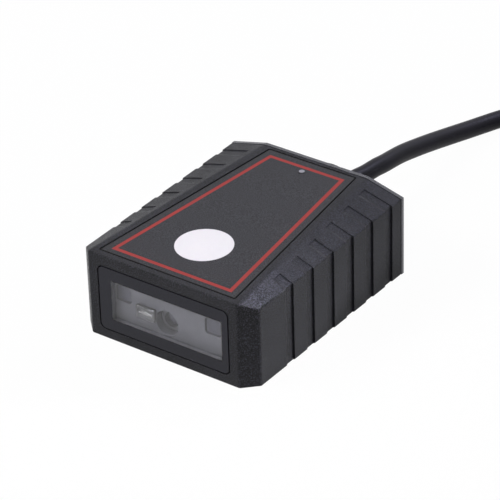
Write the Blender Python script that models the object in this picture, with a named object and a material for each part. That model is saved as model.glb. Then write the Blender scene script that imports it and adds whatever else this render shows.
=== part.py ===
# Fixed-mount barcode reader with a USB lead, in metres, +Z up.
# The scan window faces -Y, the cable leaves towards +Y, and the reader stands on z = 0 with the
# origin under the middle of its body. Depths named "d" are measured back from the window face.
import math

import bmesh
import bpy
from mathutils import Matrix, Vector

# Body shell
BODY_WIDTH = 0.0430
BODY_LENGTH = 0.0540
FRONT_HEIGHT = 0.0195
REAR_HEIGHT = 0.0204
REAR_CREST_INSET = 0.0087
CORNER_CHAMFER = 0.00315
FRONT_SHOULDER_DROP = 0.00175
REAR_SHOULDER_DROP = 0.00225
EDGE_RADIUS = 0.0003
WALL = 0.0018
FRONT_WALL = 0.0034
HULL_STATIONS = 12

# Ribbed flanks
RIB_COUNT = 6
FIRST_RIB_D = 0.0145
LAST_PAD = 0.0045
POCKET_FLOOR = 0.0021
POCKET_RAMP = 0.0007
POCKET_DEPTH = 0.00043
POCKET_SLANT_DEPTH = 0.00018
POCKET_CREST_MARGIN = 0.0014

# Clearances
SEAT_GAP = 0.0003
GLUE_GAP = 0.00015
CUT_MARGIN = 0.0010

# Rear cover and its seal
COVER_THICKNESS = 0.0011
COVER_CHAMFER = 0.0003
RIM_WALL = 0.0010
LIP_LENGTH = 0.0013
SEAL_THICKNESS = 0.0008
COVER_SCREW_SIDE_INSET = 0.0039
COVER_SCREW_LOW_INSET = 0.0039
COVER_SCREW_HIGH_INSET = 0.00355
COVER_SCREW_SHAFT_R = 0.0008
COVER_SCREW_HEAD_R = 0.0017
COVER_SCREW_LENGTH = 0.0075
SCREW_BOSS_R = 0.0023
SCREW_BOSS_LENGTH = 0.0095

# Scan window
WINDOW_SIDE_MARGIN = 0.00245
WINDOW_LOW_MARGIN = 0.00243
WINDOW_HIGH_MARGIN = 0.00267
WINDOW_CORNER_R = 0.0011
WINDOW_THICKNESS = 0.0012
TAPE_THICKNESS = 0.0003
TAPE_SIDE_BORDER = 0.00215
TAPE_LOW_BORDER = 0.00181
TAPE_HIGH_BORDER = 0.00339
VIEW_CORNER_R = 0.0005
WINDOW_LEDGE_SIDE = 0.0015
WINDOW_LEDGE_LOW = 0.00052
WINDOW_LEDGE_HIGH = 0.00218
APERTURE_CORNER_R = 0.0010

# Overlay label on the top
LABEL_FRONT_D = 0.00182
LABEL_REAR_MARGIN = 0.00224
LABEL_FRONT_CREST_MARGIN = 0.00161
LABEL_REAR_CREST_MARGIN = 0.00223
LABEL_CORNER_R = 0.0002
LABEL_THICKNESS = 0.00025
BORDER_FRONT_INSET = 0.00134
BORDER_REAR_INSET = 0.00177
BORDER_SIDE_INSET = 0.00160
BORDER_WIDTH = 0.00085
BADGE_D = 0.01424
BADGE_R = 0.0060

# Status indicator
INDICATOR_REAR_MARGIN = 0.00594
LIGHT_PIPE_R = 0.0007
LIGHT_PIPE_COLLAR_R = 0.0015
LIGHT_PIPE_COLLAR = 0.0008
LIGHT_PIPE_LENGTH = 0.0036
STATUS_LED_SIZE = (0.0016, 0.0010, 0.0007)
INDICATOR_BOARD_SIZE = (0.0090, 0.0044, 0.0008)
INDICATOR_POST_R = 0.0007
INDICATOR_POST_X = 0.0032

# Scan engine
ENGINE_X = -0.0004
BEZEL_D = 0.0027
BEZEL_CLEARANCE_SIDE = 0.00095
BEZEL_CLEARANCE_HEIGHT = 0.0003
FLANGE_THICKNESS = 0.0012
FLANGE_SIDE_CLEARANCE = 0.0005
FLANGE_LOW_Z = 0.0022
FLANGE_TOP_MARGIN = 0.0041
LENS_X = -0.0007
LENS_Z = 0.0074
LENS_HOLE_R = 0.0028
BARREL_R = 0.0024
BARREL_D = 0.0042
BARREL_LENGTH = 0.0046
BARREL_BORE_R = 0.0017
FRONT_LENS_R = 0.0014
FRONT_LENS_SETBACK = 0.0004
FRONT_LENS_THICKNESS = 0.0016
AIMER_X = -0.00535
AIMER_Z = 0.00848
AIMER_HEAD_SIZE = (0.0046, 0.0008, 0.00295)
AIMER_NECK_SIZE = (0.0028, 0.0018)
LAMP_SIDE_INSET = 0.00235
LAMP_Z = 0.01045
LAMP_WINDOW_SIZE = (0.0039, 0.0037)
LAMP_WINDOW_CORNER_R = 0.0007
LAMP_LENS_THICKNESS = 0.0009
LAMP_SETBACK = 0.0003
LED_SIZE = 0.0028
LED_THICKNESS = 0.0007
BOARD_THICKNESS = 0.0010
LIGHT_BOARD_OVERHANG = 0.00105
LIGHT_BOARD_HEIGHT = 0.0108
HOLDER_SIZE = (0.0086, 0.0044, 0.0086)
SENSOR_SIZE = (0.0050, 0.0009, 0.0042)
SENSOR_POCKET_CLEARANCE = 0.0006
SENSOR_BOARD_HEIGHT = 0.0112
POST_SIDE_INSET = 0.00395
POST_EDGE = 0.0027
POST_Z = 0.0050
POST_R = 0.0015
BRACKET_SCREW_INSET = 0.0015
SMALL_SHAFT_R = 0.0005
SMALL_HEAD_R = 0.0011
SMALL_HEAD_HEIGHT = 0.0009
SMALL_SCREW_BITE = 0.0021

# Main board and what it carries
MAIN_BOARD_SIDE_CLEARANCE = 0.0005
MAIN_BOARD_THICKNESS = 0.0012
MAIN_BOARD_FRONT_D = 0.0163
MAIN_BOARD_REAR_MARGIN = 0.0009
MAIN_BOARD_Z = 0.0052
FLEX_SOCKET_SIZE = (0.0090, 0.0018, 0.0012)
FLEX_SOCKET_SETBACK = 0.0018
PROCESSOR_SIZE = (0.0090, 0.0090, 0.0012)
PROCESSOR_GAP = 0.0026
MEMORY_SIZE = (0.0050, 0.0068, 0.0010)
MEMORY_GAP = 0.0020
BUZZER_R = 0.0042
BUZZER_HEIGHT = 0.0032
BUZZER_EDGE = 0.0008
HEADER_SIZE = (0.0080, 0.0040, 0.0034)
HEADER_SIDE_INSET = 0.0058
HEADER_REAR_MARGIN = 0.0133
LEAD_PLUG_SIZE = (0.0070, 0.0040, 0.0028)
FLEX_PLUG_SIZE = (0.0090, 0.0012, 0.0018)
FLEX_PLUG_Z = 0.0108
FLEX_WIDTH = 0.0076
FLEX_THICKNESS = 0.0003

# Threaded inserts in the floor
INSERT_SIDE_INSET = 0.0105
INSERT_FRONT_D = 0.0200
INSERT_REAR_INSET = 0.0100
INSERT_R = 0.0021
INSERT_BORE_R = 0.00125
INSERT_LENGTH = 0.0038
INSERT_RECESS = 0.0002
INSERT_WALL = 0.0010

# Cable, strain relief, coil, tie and USB plug
CABLE_R = 0.0020
CABLE_EXIT_DROP = 0.0010
GLAND_FLANGE_R = 0.0075
GLAND_FLANGE_LENGTH = 0.0053
GLAND_FLANGE_EDGE_R = 0.0006
GLAND_NECK_R = 0.0030
GLAND_COLLAR_R = 0.0042
GLAND_COLLAR = 0.0014
GLAND_ROOT_R = 0.0029
GLAND_TIP_R = 0.0024
GLAND_TAPER = 0.0050
ROUTE_SPACING = 0.0090
INNER_LEAD_R = 0.0014
COIL_CENTRE_X = 0.0525
COIL_INNER_TURN_R = 0.01755
COIL_PITCH = 0.00405
COIL_COLUMNS = 3
COIL_LAYERS = 3
COIL_CORNER_R = 0.0018
CROSSING_TURNS = 0.38
CROSSING_HIDDEN_TURNS = 0.12
CROSSING_STEPS = 9
PLUG_BEND_R = 0.0160
PLUG_BEND_STEPS = 6
TIE_THICKNESS = 0.0004
TIE_WIDTH = 0.0035
TIE_ANGLE = math.radians(-80.0)
TIE_CLASP_SIZE = (0.0052, 0.0026, 0.0012)
PLUG_RELIEF_LENGTH = 0.0090
PLUG_RELIEF_TAIL_R = 0.0026
PLUG_GRIP_SIZE = (0.0155, 0.0240, 0.0072)
PLUG_GRIP_CORNER_R = 0.0020
PLUG_GRIP_WAIST = 0.0008
PLUG_GRIP_EDGE = 0.0004
PLUG_SHELL_SIZE = (0.0120, 0.0125, 0.0045)
PLUG_SHELL_WALL = 0.0003
PLUG_SHELL_BACK = 0.0010
PLUG_LATCH_HOLE = 0.0024
PLUG_LATCH_OFFSET = (0.0025, -0.0010)
PLUG_TONGUE_THICKNESS = 0.0018
PLUG_CONTACT_COUNT = 4

# Free run of the cable, each point (x, distance behind the strain relief, z)
CABLE_RUN = (
    (0.0001, 0.0026, 0.0091),
    (0.0005, 0.0055, 0.0089),
    (0.0007, 0.0095, 0.0087),
    (0.0008, 0.0125, 0.0083),
    (0.0006, 0.0192, 0.0073),
    (0.0008, 0.0255, 0.0061),
    (0.0012, 0.0315, 0.0049),
    (0.0019, 0.0374, 0.0038),
    (0.0028, 0.0429, 0.0029),
    (0.0039, 0.0479, 0.0023),
    (0.0056, 0.0526, 0.0021),
    (0.0084, 0.0574, 0.0021),
    (0.0126, 0.0610, 0.0021),
    (0.0178, 0.0629, 0.0022),
    (0.0206, 0.0631, 0.0023),
    (0.0290, 0.0631, 0.0025),
    (0.0370, 0.0631, 0.0027),
)

# Sides of round forms, and steps of curved ones
ROUND = 32
FINE_ROUND = 48
GLAND_ROUND = 40
INSERT_ROUND = 24
SMALL_ROUND = 16
POST_ROUND = 20
CURVE_STEPS = 16
FLEX_STEPS = 12
LENS_STEPS = 5
EDGE_STEPS = 4

# Angles in degrees: below these a corner is shaded smooth, above the last it gets a radius
HULL_SMOOTH = 30.0
ROUND_SMOOTH = 35.0
PLUG_SMOOTH = 40.0
ROUNDED_CORNER_ANGLE = 8.0

# Proportions of small parts
SCREW_SOCKET_SHARE = 0.45
SCREW_SOCKET_DEPTH_SHARE = 0.6
SCREW_POINT_SHARE = 0.3
LIGHT_PIPE_TIP_SHARE = 0.8
AIMER_LED_SHARE = 0.8
LENS_CROWN_SHARE = 0.3
CHIP_BEVEL_SHARE = 0.12
BUZZER_PORT_SHARE = 0.3
BUZZER_FLOOR_SHARE = 0.6
BUZZER_SHOULDER_SHARE = 0.9
INSERT_WAIST_SHARE = 0.88
INSERT_BAND_SHARE = 0.38
INSERT_LEAD_SHARE = 0.08
PLUG_WAIST_SHARES = (0.3, 0.5, 0.7)
PLUG_CONTACT_SHARES = (0.45, 0.7, 0.3)

# Inner lead, shares of its way (back, sideways, down)
INNER_LEAD_SHARES = ((0.2, 0.04, 0.0), (0.5, 0.5, 0.5), (0.8, 0.96, 1.0))


# Derived places
HALF_WIDTH = BODY_WIDTH / 2
FRONT_CREST = HALF_WIDTH - CORNER_CHAMFER
REAR_CREST = HALF_WIDTH - REAR_CREST_INSET
RIB_PITCH = (BODY_LENGTH - LAST_PAD - FIRST_RIB_D) / (RIB_COUNT - 1)
COVER_FRONT_D = BODY_LENGTH - COVER_THICKNESS
HOUSING_END_D = COVER_FRONT_D - SEAT_GAP
LIP_FRONT_D = COVER_FRONT_D - LIP_LENGTH
SEAL_FRONT_D = LIP_FRONT_D - SEAT_GAP - SEAL_THICKNESS
LEDGE_D = SEAL_FRONT_D - SEAT_GAP
COVER_SCREW_X = HALF_WIDTH - COVER_SCREW_SIDE_INSET
COVER_SCREW_HIGH_Z = REAR_HEIGHT - REAR_SHOULDER_DROP - COVER_SCREW_HIGH_INSET
COVER_SCREW_PILOT_R = COVER_SCREW_SHAFT_R + SEAT_GAP
SMALL_PILOT_R = SMALL_SHAFT_R + SEAT_GAP
WINDOW_HALF = FRONT_CREST - WINDOW_SIDE_MARGIN
WINDOW_LOW = WINDOW_LOW_MARGIN
WINDOW_HIGH = FRONT_HEIGHT - WINDOW_HIGH_MARGIN
APERTURE_HALF = WINDOW_HALF - WINDOW_LEDGE_SIDE
APERTURE_LOW = WINDOW_LOW + WINDOW_LEDGE_LOW
APERTURE_HIGH = WINDOW_HIGH - WINDOW_LEDGE_HIGH
APERTURE_CENTRE_Z = (APERTURE_LOW + APERTURE_HIGH) / 2
TAPE_FRONT_D = WINDOW_THICKNESS + GLUE_GAP
WINDOW_LEDGE_D = TAPE_FRONT_D + TAPE_THICKNESS + GLUE_GAP
LABEL_REAR_D = BODY_LENGTH - LABEL_REAR_MARGIN
INDICATOR_D = BODY_LENGTH - INDICATOR_REAR_MARGIN
BEZEL_HALF = APERTURE_HALF - BEZEL_CLEARANCE_SIDE
LAMP_OFFSET_X = BEZEL_HALF - LAMP_SIDE_INSET
POST_OFFSET_X = BEZEL_HALF - POST_SIDE_INSET
FLANGE_HALF = HALF_WIDTH - WALL - FLANGE_SIDE_CLEARANCE
FLANGE_HIGH_Z = FRONT_HEIGHT - FLANGE_TOP_MARGIN
FLANGE_FRONT_D = FRONT_WALL + SEAT_GAP
FLANGE_REAR_D = FLANGE_FRONT_D + FLANGE_THICKNESS
BRACKET_SCREW_X = FLANGE_HALF - BRACKET_SCREW_INSET
BRACKET_SCREW_Z = (FLANGE_LOW_Z + FLANGE_HIGH_Z) / 2
LIGHT_BOARD_D = FLANGE_REAR_D + SEAT_GAP
HOLDER_D = LIGHT_BOARD_D + BOARD_THICKNESS + SEAT_GAP
SENSOR_BOARD_D = HOLDER_D + HOLDER_SIZE[1] + SEAT_GAP
MAIN_BOARD_HALF = COVER_SCREW_X - SCREW_BOSS_R - MAIN_BOARD_SIDE_CLEARANCE
MAIN_BOARD_REAR_D = LEDGE_D - MAIN_BOARD_REAR_MARGIN
MAIN_BOARD_TOP = MAIN_BOARD_Z + MAIN_BOARD_THICKNESS
CHIP_Z = MAIN_BOARD_TOP + SEAT_GAP
FLEX_SOCKET_D = MAIN_BOARD_FRONT_D + FLEX_SOCKET_SETBACK + FLEX_SOCKET_SIZE[1] / 2
PROCESSOR_D = FLEX_SOCKET_D + FLEX_SOCKET_SIZE[1] / 2 + PROCESSOR_GAP + PROCESSOR_SIZE[1] / 2
MEMORY_X = PROCESSOR_SIZE[0] / 2 + MEMORY_GAP + MEMORY_SIZE[0] / 2
BUZZER_X = MAIN_BOARD_HALF - BUZZER_EDGE - BUZZER_R
BUZZER_D = MAIN_BOARD_REAR_D - BUZZER_EDGE - BUZZER_R
HEADER_D = MAIN_BOARD_REAR_D - HEADER_REAR_MARGIN
HEADER_X = HEADER_SIDE_INSET - MAIN_BOARD_HALF
INSERT_X = HALF_WIDTH - INSERT_SIDE_INSET
INSERT_REAR_D = BODY_LENGTH - INSERT_REAR_INSET
CABLE_EXIT_Z = REAR_HEIGHT / 2 - CABLE_EXIT_DROP
GLAND_TIP_D = BODY_LENGTH + SEAT_GAP + GLAND_FLANGE_LENGTH + GLAND_TAPER
CABLE_START_D = GLAND_TIP_D + SEAT_GAP
CABLE_START_Y = CABLE_START_D - BODY_LENGTH / 2
COIL_OUTER_TURN_R = COIL_INNER_TURN_R + (COIL_COLUMNS - 1) * COIL_PITCH
COIL_MEAN_R = (COIL_INNER_TURN_R + COIL_OUTER_TURN_R) / 2
COIL_WIDTH = COIL_OUTER_TURN_R - COIL_INNER_TURN_R + 2 * CABLE_R
COIL_HEIGHT = (COIL_LAYERS - 1) * COIL_PITCH + 2 * CABLE_R
COIL_CENTRE_Y = CABLE_START_Y + CABLE_RUN[-1][1] - COIL_OUTER_TURN_R
COIL_BASE_Z = TIE_THICKNESS + SEAT_GAP
COIL_REST_Z = COIL_BASE_Z + COIL_HEIGHT + SEAT_GAP
PLUG_X = COIL_CENTRE_X + PLUG_BEND_R
PLUG_BEND_Y = COIL_CENTRE_Y + COIL_OUTER_TURN_R - PLUG_BEND_R
PLUG_TAIL_Y = PLUG_BEND_Y - SEAT_GAP
PLUG_AXIS_Z = COIL_REST_Z + PLUG_GRIP_SIZE[2] / 2


def along(d):
    """Y of a depth measured back from the window face."""
    return d - BODY_LENGTH / 2


def top_z(d):
    return FRONT_HEIGHT + (REAR_HEIGHT - FRONT_HEIGHT) * d / BODY_LENGTH


def crest_x(d):
    return FRONT_CREST + (REAR_CREST - FRONT_CREST) * d / BODY_LENGTH


def shoulder_z(d):
    front = FRONT_HEIGHT - FRONT_SHOULDER_DROP
    rear = REAR_HEIGHT - REAR_SHOULDER_DROP
    return front + (rear - front) * d / BODY_LENGTH


def slant_z(x, d):
    """Height of the sloping flank between the crest line and the shoulder line."""
    share = (abs(x) - crest_x(d)) / (HALF_WIDTH - crest_x(d))
    return top_z(d) + (shoulder_z(d) - top_z(d)) * share


def hull_ring(d, inset=0.0):
    """Six-sided cross-section of the body at depth d, moved inwards by inset."""
    y = along(d)
    side = HALF_WIDTH - inset
    crest = crest_x(d)
    right = [(side, inset), (side, shoulder_z(d) - inset), (crest, top_z(d) - inset)]
    left = [(-x, z) for x, z in reversed(right)]
    return [Vector((x, y, z)) for x, z in right + left]


# Mesh tools
def add_loft(bm, rings):
    """Closed solid through rings of the same number of points."""
    loops = [[bm.verts.new(point) for point in ring] for ring in rings]
    count = len(loops[0])
    for low, high in zip(loops, loops[1:]):
        for i in range(count):
            j = (i + 1) % count
            bm.faces.new((low[i], low[j], high[j], high[i]))
    bm.faces.new(loops[0][::-1])
    bm.faces.new(loops[-1])


def add_prism(bm, outline, start, end):
    """Outline of (x, z) points extruded between two depths."""
    add_loft(bm, [[Vector((x, along(d), z)) for x, z in outline] for d in (start, end)])


def add_box(bm, centre, size):
    """Box about a centre (x, d, z), with d at its middle."""
    x, d, z = centre
    matrix = Matrix.Translation((x, along(d), z)) @ Matrix.Diagonal((*size, 1.0))
    bmesh.ops.create_cube(bm, size=1.0, matrix=matrix)


def add_turned(bm, profile, matrix, segments=ROUND):
    """Solid turned about local Z from (radius, height) points, closed at both ends."""
    rings = []
    for radius, height in profile:
        if radius <= 0.0:
            rings.append([bm.verts.new(matrix @ Vector((0.0, 0.0, height)))])
            continue
        ring = []
        for i in range(segments):
            angle = 2 * math.pi * i / segments
            point = Vector((radius * math.cos(angle), radius * math.sin(angle), height))
            ring.append(bm.verts.new(matrix @ point))
        rings.append(ring)
    for low, high in zip(rings, rings[1:]):
        for i in range(segments):
            j = (i + 1) % segments
            if len(low) == 1:
                bm.faces.new((low[0], high[j], high[i]))
            elif len(high) == 1:
                bm.faces.new((low[i], low[j], high[0]))
            else:
                bm.faces.new((low[i], low[j], high[j], high[i]))
    if len(rings[0]) > 1:
        bm.faces.new(rings[0][::-1])
    if len(rings[-1]) > 1:
        bm.faces.new(rings[-1])


def add_ring(bm, profile, matrix, segments=ROUND):
    """Ring turned about local Z from a closed profile of (radius, height) points."""
    loops = []
    for i in range(segments):
        angle = 2 * math.pi * i / segments
        loops.append(
            [
                bm.verts.new(matrix @ Vector((r * math.cos(angle), r * math.sin(angle), h)))
                for r, h in profile
            ]
        )
    count = len(profile)
    for i in range(segments):
        low, high = loops[i], loops[(i + 1) % segments]
        for k in range(count):
            j = (k + 1) % count
            bm.faces.new((low[k], low[j], high[j], high[k]))


def facing(x, d, z, direction=1):
    """Frame at (x, d, z) whose local Z runs back along +Y, or forward for direction -1."""
    turn = Matrix.Rotation(math.radians(-90.0 * direction), 4, "X")
    return Matrix.Translation((x, along(d), z)) @ turn


def standing(x, d, z):
    """Frame at (x, d, z) whose local Z points up."""
    return Matrix.Translation((x, along(d), z))


def rounded(corners, radius, steps=4):
    """Outline through corners, each rounded by an arc that ends on its two sides."""
    outline = []
    count = len(corners)
    for i, corner in enumerate(corners):
        here = Vector(corner)
        before = (Vector(corners[i - 1]) - here).normalized()
        after = (Vector(corners[(i + 1) % count]) - here).normalized()
        half = before.angle(after) / 2
        reach = radius / math.tan(half)
        centre = here + (before + after).normalized() * (radius / math.sin(half))
        start = here + before * reach - centre
        end = here + after * reach - centre
        sweep = start.angle_signed(end)
        for k in range(steps + 1):
            turn = -sweep * k / steps
            cos, sin = math.cos(turn), math.sin(turn)
            x = start.x * cos - start.y * sin
            z = start.x * sin + start.y * cos
            outline.append((centre.x + x, centre.y + z))
    return outline


def rounded_box(low, high, radius):
    """Rounded rectangle between two opposite (x, z) corners."""
    return rounded([low, (high[0], low[1]), high, (low[0], high[1])], radius)


def rounded_window(centre_x, centre_z, size, radius):
    """Rounded rectangle of a (width, height) about a centre."""
    x, z = size[0] / 2, size[1] / 2
    return rounded_box((centre_x - x, centre_z - z), (centre_x + x, centre_z + z), radius)


def smooth_route(points, spacing):
    """Points read at an even spacing from the smooth curve through a route."""
    points = [Vector(p) for p in points]
    first = points[0] * 2 - points[1]
    last = points[-1] * 2 - points[-2]
    guide = [first, *points, last]
    dense = []
    for i in range(1, len(guide) - 2):
        a, b, c, e = guide[i - 1 : i + 3]
        for k in range(CURVE_STEPS):
            t = k / CURVE_STEPS
            dense.append(
                0.5
                * (
                    2 * b
                    + (c - a) * t
                    + (2 * a - 5 * b + 4 * c - e) * t**2
                    + (3 * b - a - 3 * c + e) * t**3
                )
            )
    dense.append(points[-1])
    lengths = [0.0]
    for low, high in zip(dense, dense[1:]):
        lengths.append(lengths[-1] + (high - low).length)
    count = max(2, math.ceil(lengths[-1] / spacing))
    route = []
    k = 0
    for i in range(count + 1):
        target = lengths[-1] * i / count
        while k < len(dense) - 2 and lengths[k + 1] < target:
            k += 1
        share = (target - lengths[k]) / (lengths[k + 1] - lengths[k])
        route.append(dense[k].lerp(dense[k + 1], share))
    return route


# Materials
def look(name, colour, roughness, metallic=0.0, alpha=1.0):
    """Principled material from an sRGB colour."""
    linear = [c / 12.92 if c <= 0.04045 else ((c + 0.055) / 1.055) ** 2.4 for c in colour]
    material = bpy.data.materials.new(name)
    material.use_nodes = True
    shader = material.node_tree.nodes["Principled BSDF"]
    shader.inputs["Base Color"].default_value = (*linear, 1.0)
    shader.inputs["Roughness"].default_value = roughness
    shader.inputs["Metallic"].default_value = metallic
    shader.inputs["Alpha"].default_value = alpha
    material.diffuse_color = (*linear, alpha)
    return material


def make_looks():
    return {
        "shell": look("charcoal_abs", (0.23, 0.23, 0.25), 0.55),
        "cover": look("cover_abs", (0.25, 0.25, 0.27), 0.5),
        "rubber": look("black_rubber", (0.10, 0.10, 0.11), 0.7),
        "jacket": look("cable_pvc", (0.13, 0.13, 0.15), 0.4),
        "clear": look("clear_acrylic", (0.75, 0.75, 0.78), 0.05, alpha=0.3),
        "tape": look("black_tape", (0.09, 0.09, 0.10), 0.6),
        "label": look("label_film", (0.25, 0.25, 0.26), 0.45),
        "border": look("label_red", (0.66, 0.29, 0.29), 0.45),
        "badge": look("label_white", (0.95, 0.95, 0.98), 0.45),
        "carrier": look("engine_plastic", (0.33, 0.33, 0.35), 0.5),
        "board": look("green_laminate", (0.05, 0.25, 0.15), 0.5),
        "chip": look("chip_epoxy", (0.08, 0.08, 0.08), 0.5),
        "lens": look("lens_glass", (0.55, 0.60, 0.70), 0.03, alpha=0.5),
        "led": look("led_resin", (0.90, 0.85, 0.55), 0.3),
        "socket": look("socket_nylon", (0.85, 0.82, 0.74), 0.5),
        "flex": look("polyimide_film", (0.70, 0.42, 0.12), 0.4),
        "steel": look("zinc_steel", (0.70, 0.70, 0.72), 0.3, metallic=1.0),
        "brass": look("turned_brass", (0.80, 0.65, 0.35), 0.3, metallic=1.0),
    }


# Objects
def add_object(name, bm, material, smooth_angle=None):
    bmesh.ops.recalc_face_normals(bm, faces=bm.faces[:])
    mesh = bpy.data.meshes.new(name)
    bm.to_mesh(mesh)
    bm.free()
    if material is not None:
        mesh.materials.append(material)
    if smooth_angle is not None:
        mesh.shade_smooth()
        mesh.set_sharp_from_angle(angle=math.radians(smooth_angle))
    obj = bpy.data.objects.new(name, mesh)
    bpy.context.scene.collection.objects.link(obj)
    return obj


def cut(target, name, bm, operation="DIFFERENCE"):
    """Boolean modifier on target with a hidden tool made from bm."""
    tool = add_object(name, bm, None)
    tool.hide_render = True
    tool.display_type = "WIRE"
    modifier = target.modifiers.new(name, "BOOLEAN")
    modifier.operation = operation
    modifier.solver = "EXACT"
    modifier.object = tool
    return tool


# Housing
def build_hull():
    """Outer form: chamfered nose, tapering crest and twisted flanks."""
    bm = bmesh.new()
    front = FRONT_CREST
    nose = [(front, 0.0), (front, FRONT_HEIGHT), (-front, FRONT_HEIGHT), (-front, 0.0)]
    low_right, high_right, high_left, low_left = [
        bm.verts.new((x, along(0.0), z)) for x, z in nose
    ]
    reach = HOUSING_END_D - CORNER_CHAMFER
    depths = [CORNER_CHAMFER + reach * i / HULL_STATIONS for i in range(HULL_STATIONS + 1)]
    loops = [[bm.verts.new(point) for point in hull_ring(d)] for d in depths]
    base_r, side_r, crest_r, crest_l, side_l, base_l = loops[0]
    bm.faces.new((low_left, low_right, high_right, high_left))
    bm.faces.new((low_right, base_r, side_r, high_right))
    bm.faces.new((high_left, side_l, base_l, low_left))
    bm.faces.new((high_right, side_r, crest_r))
    bm.faces.new((crest_l, side_l, high_left))
    bm.faces.new((high_left, high_right, crest_r, crest_l))
    bm.faces.new((low_right, low_left, base_l, base_r))
    for low, high in zip(loops, loops[1:]):
        for i in range(6):
            j = (i + 1) % 6
            bm.faces.new((low[i], low[j], high[j], high[i]))
    bm.faces.new(loops[-1])
    bmesh.ops.recalc_face_normals(bm, faces=bm.faces[:])
    rear_y = along(HOUSING_END_D) - CUT_MARGIN / 10
    edges = [
        edge
        for edge in bm.edges
        if edge.calc_face_angle(0.0) > math.radians(ROUNDED_CORNER_ANGLE)
        and min(v.co.y for v in edge.verts) < rear_y
    ]
    bmesh.ops.bevel(
        bm,
        geom=edges,
        offset=EDGE_RADIUS,
        segments=2,
        profile=0.5,
        affect="EDGES",
        clamp_overlap=True,
    )
    return bm


def add_pocket(bm, wall_d, side):
    """One flank pocket: a ramp in, a flat floor and a square rear wall, over both faces."""
    stations = (
        (wall_d - POCKET_FLOOR - POCKET_RAMP, -POCKET_SLANT_DEPTH / 20, -POCKET_DEPTH / 20),
        (wall_d - POCKET_FLOOR, POCKET_SLANT_DEPTH, POCKET_DEPTH),
        (wall_d, POCKET_SLANT_DEPTH, POCKET_DEPTH),
    )
    rings = []
    for d, depth, side_depth in stations:
        inner = crest_x(d) + POCKET_CREST_MARGIN
        outer = HALF_WIDTH - side_depth
        above = top_z(d) + CUT_MARGIN
        section = (
            (inner, above),
            (inner, slant_z(inner, d) - depth),
            (outer, slant_z(outer, d) - depth),
            (outer, -CUT_MARGIN),
            (HALF_WIDTH + CUT_MARGIN, -CUT_MARGIN),
            (HALF_WIDTH + CUT_MARGIN, above),
        )
        rings.append([Vector((side * x, along(d), z)) for x, z in section])
    add_loft(bm, rings)


def add_corner_webs(bm, start, end):
    """Four blocks that join the screw bosses to the corners of the shell."""
    overlap = SCREW_BOSS_R / 4
    inner, outer = COVER_SCREW_X - overlap, HALF_WIDTH - WALL / 2
    for side in (-1, 1):
        low, high = [], []
        for d in (start, end):
            floor, roof = WALL / 2, shoulder_z(d) - WALL / 2
            under = slant_z(inner, d) - WALL / 2
            lower = COVER_SCREW_LOW_INSET + overlap
            upper = COVER_SCREW_HIGH_Z - overlap
            low.append(((inner, floor), (outer, floor), (outer, lower), (inner, lower)))
            high.append(((inner, upper), (outer, upper), (outer, roof), (inner, under)))
        for pair in (low, high):
            sections = zip((start, end), pair)
            add_loft(bm, [[Vector((side * x, along(d), z)) for x, z in c] for d, c in sections])


def label_corners(front_inset=0.0, rear_inset=0.0, side_inset=0.0):
    """Label corners, each side moved in square to itself."""
    low, high = LABEL_FRONT_D, LABEL_REAR_D
    front = crest_x(low) - LABEL_FRONT_CREST_MARGIN
    rear = crest_x(high) - LABEL_REAR_CREST_MARGIN
    slope = (front - rear) / (high - low)
    sideways = side_inset * math.sqrt(1 + slope * slope)
    near = front - slope * front_inset - sideways
    far = rear + slope * rear_inset - sideways
    low += front_inset
    high -= rear_inset
    return [(-near, low), (near, low), (far, high), (-far, high)]


def add_top_slab(bm, outline, low, high):
    """Slab over an (x, d) outline whose two faces run parallel to the sloping top."""
    rings = [[Vector((x, along(d), top_z(d) + lift)) for x, d in outline] for lift in (low, high)]
    add_loft(bm, rings)


def cover_screw_places():
    for z in (COVER_SCREW_LOW_INSET, COVER_SCREW_HIGH_Z):
        for side in (-1, 1):
            yield side * COVER_SCREW_X, z


def insert_places():
    for d in (INSERT_FRONT_D, INSERT_REAR_D):
        for side in (-1, 1):
            yield side * INSERT_X, d


def indicator_board_top():
    return top_z(INDICATOR_D) - LIGHT_PIPE_LENGTH - SEAT_GAP - STATUS_LED_SIZE[2] - SEAT_GAP


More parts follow.
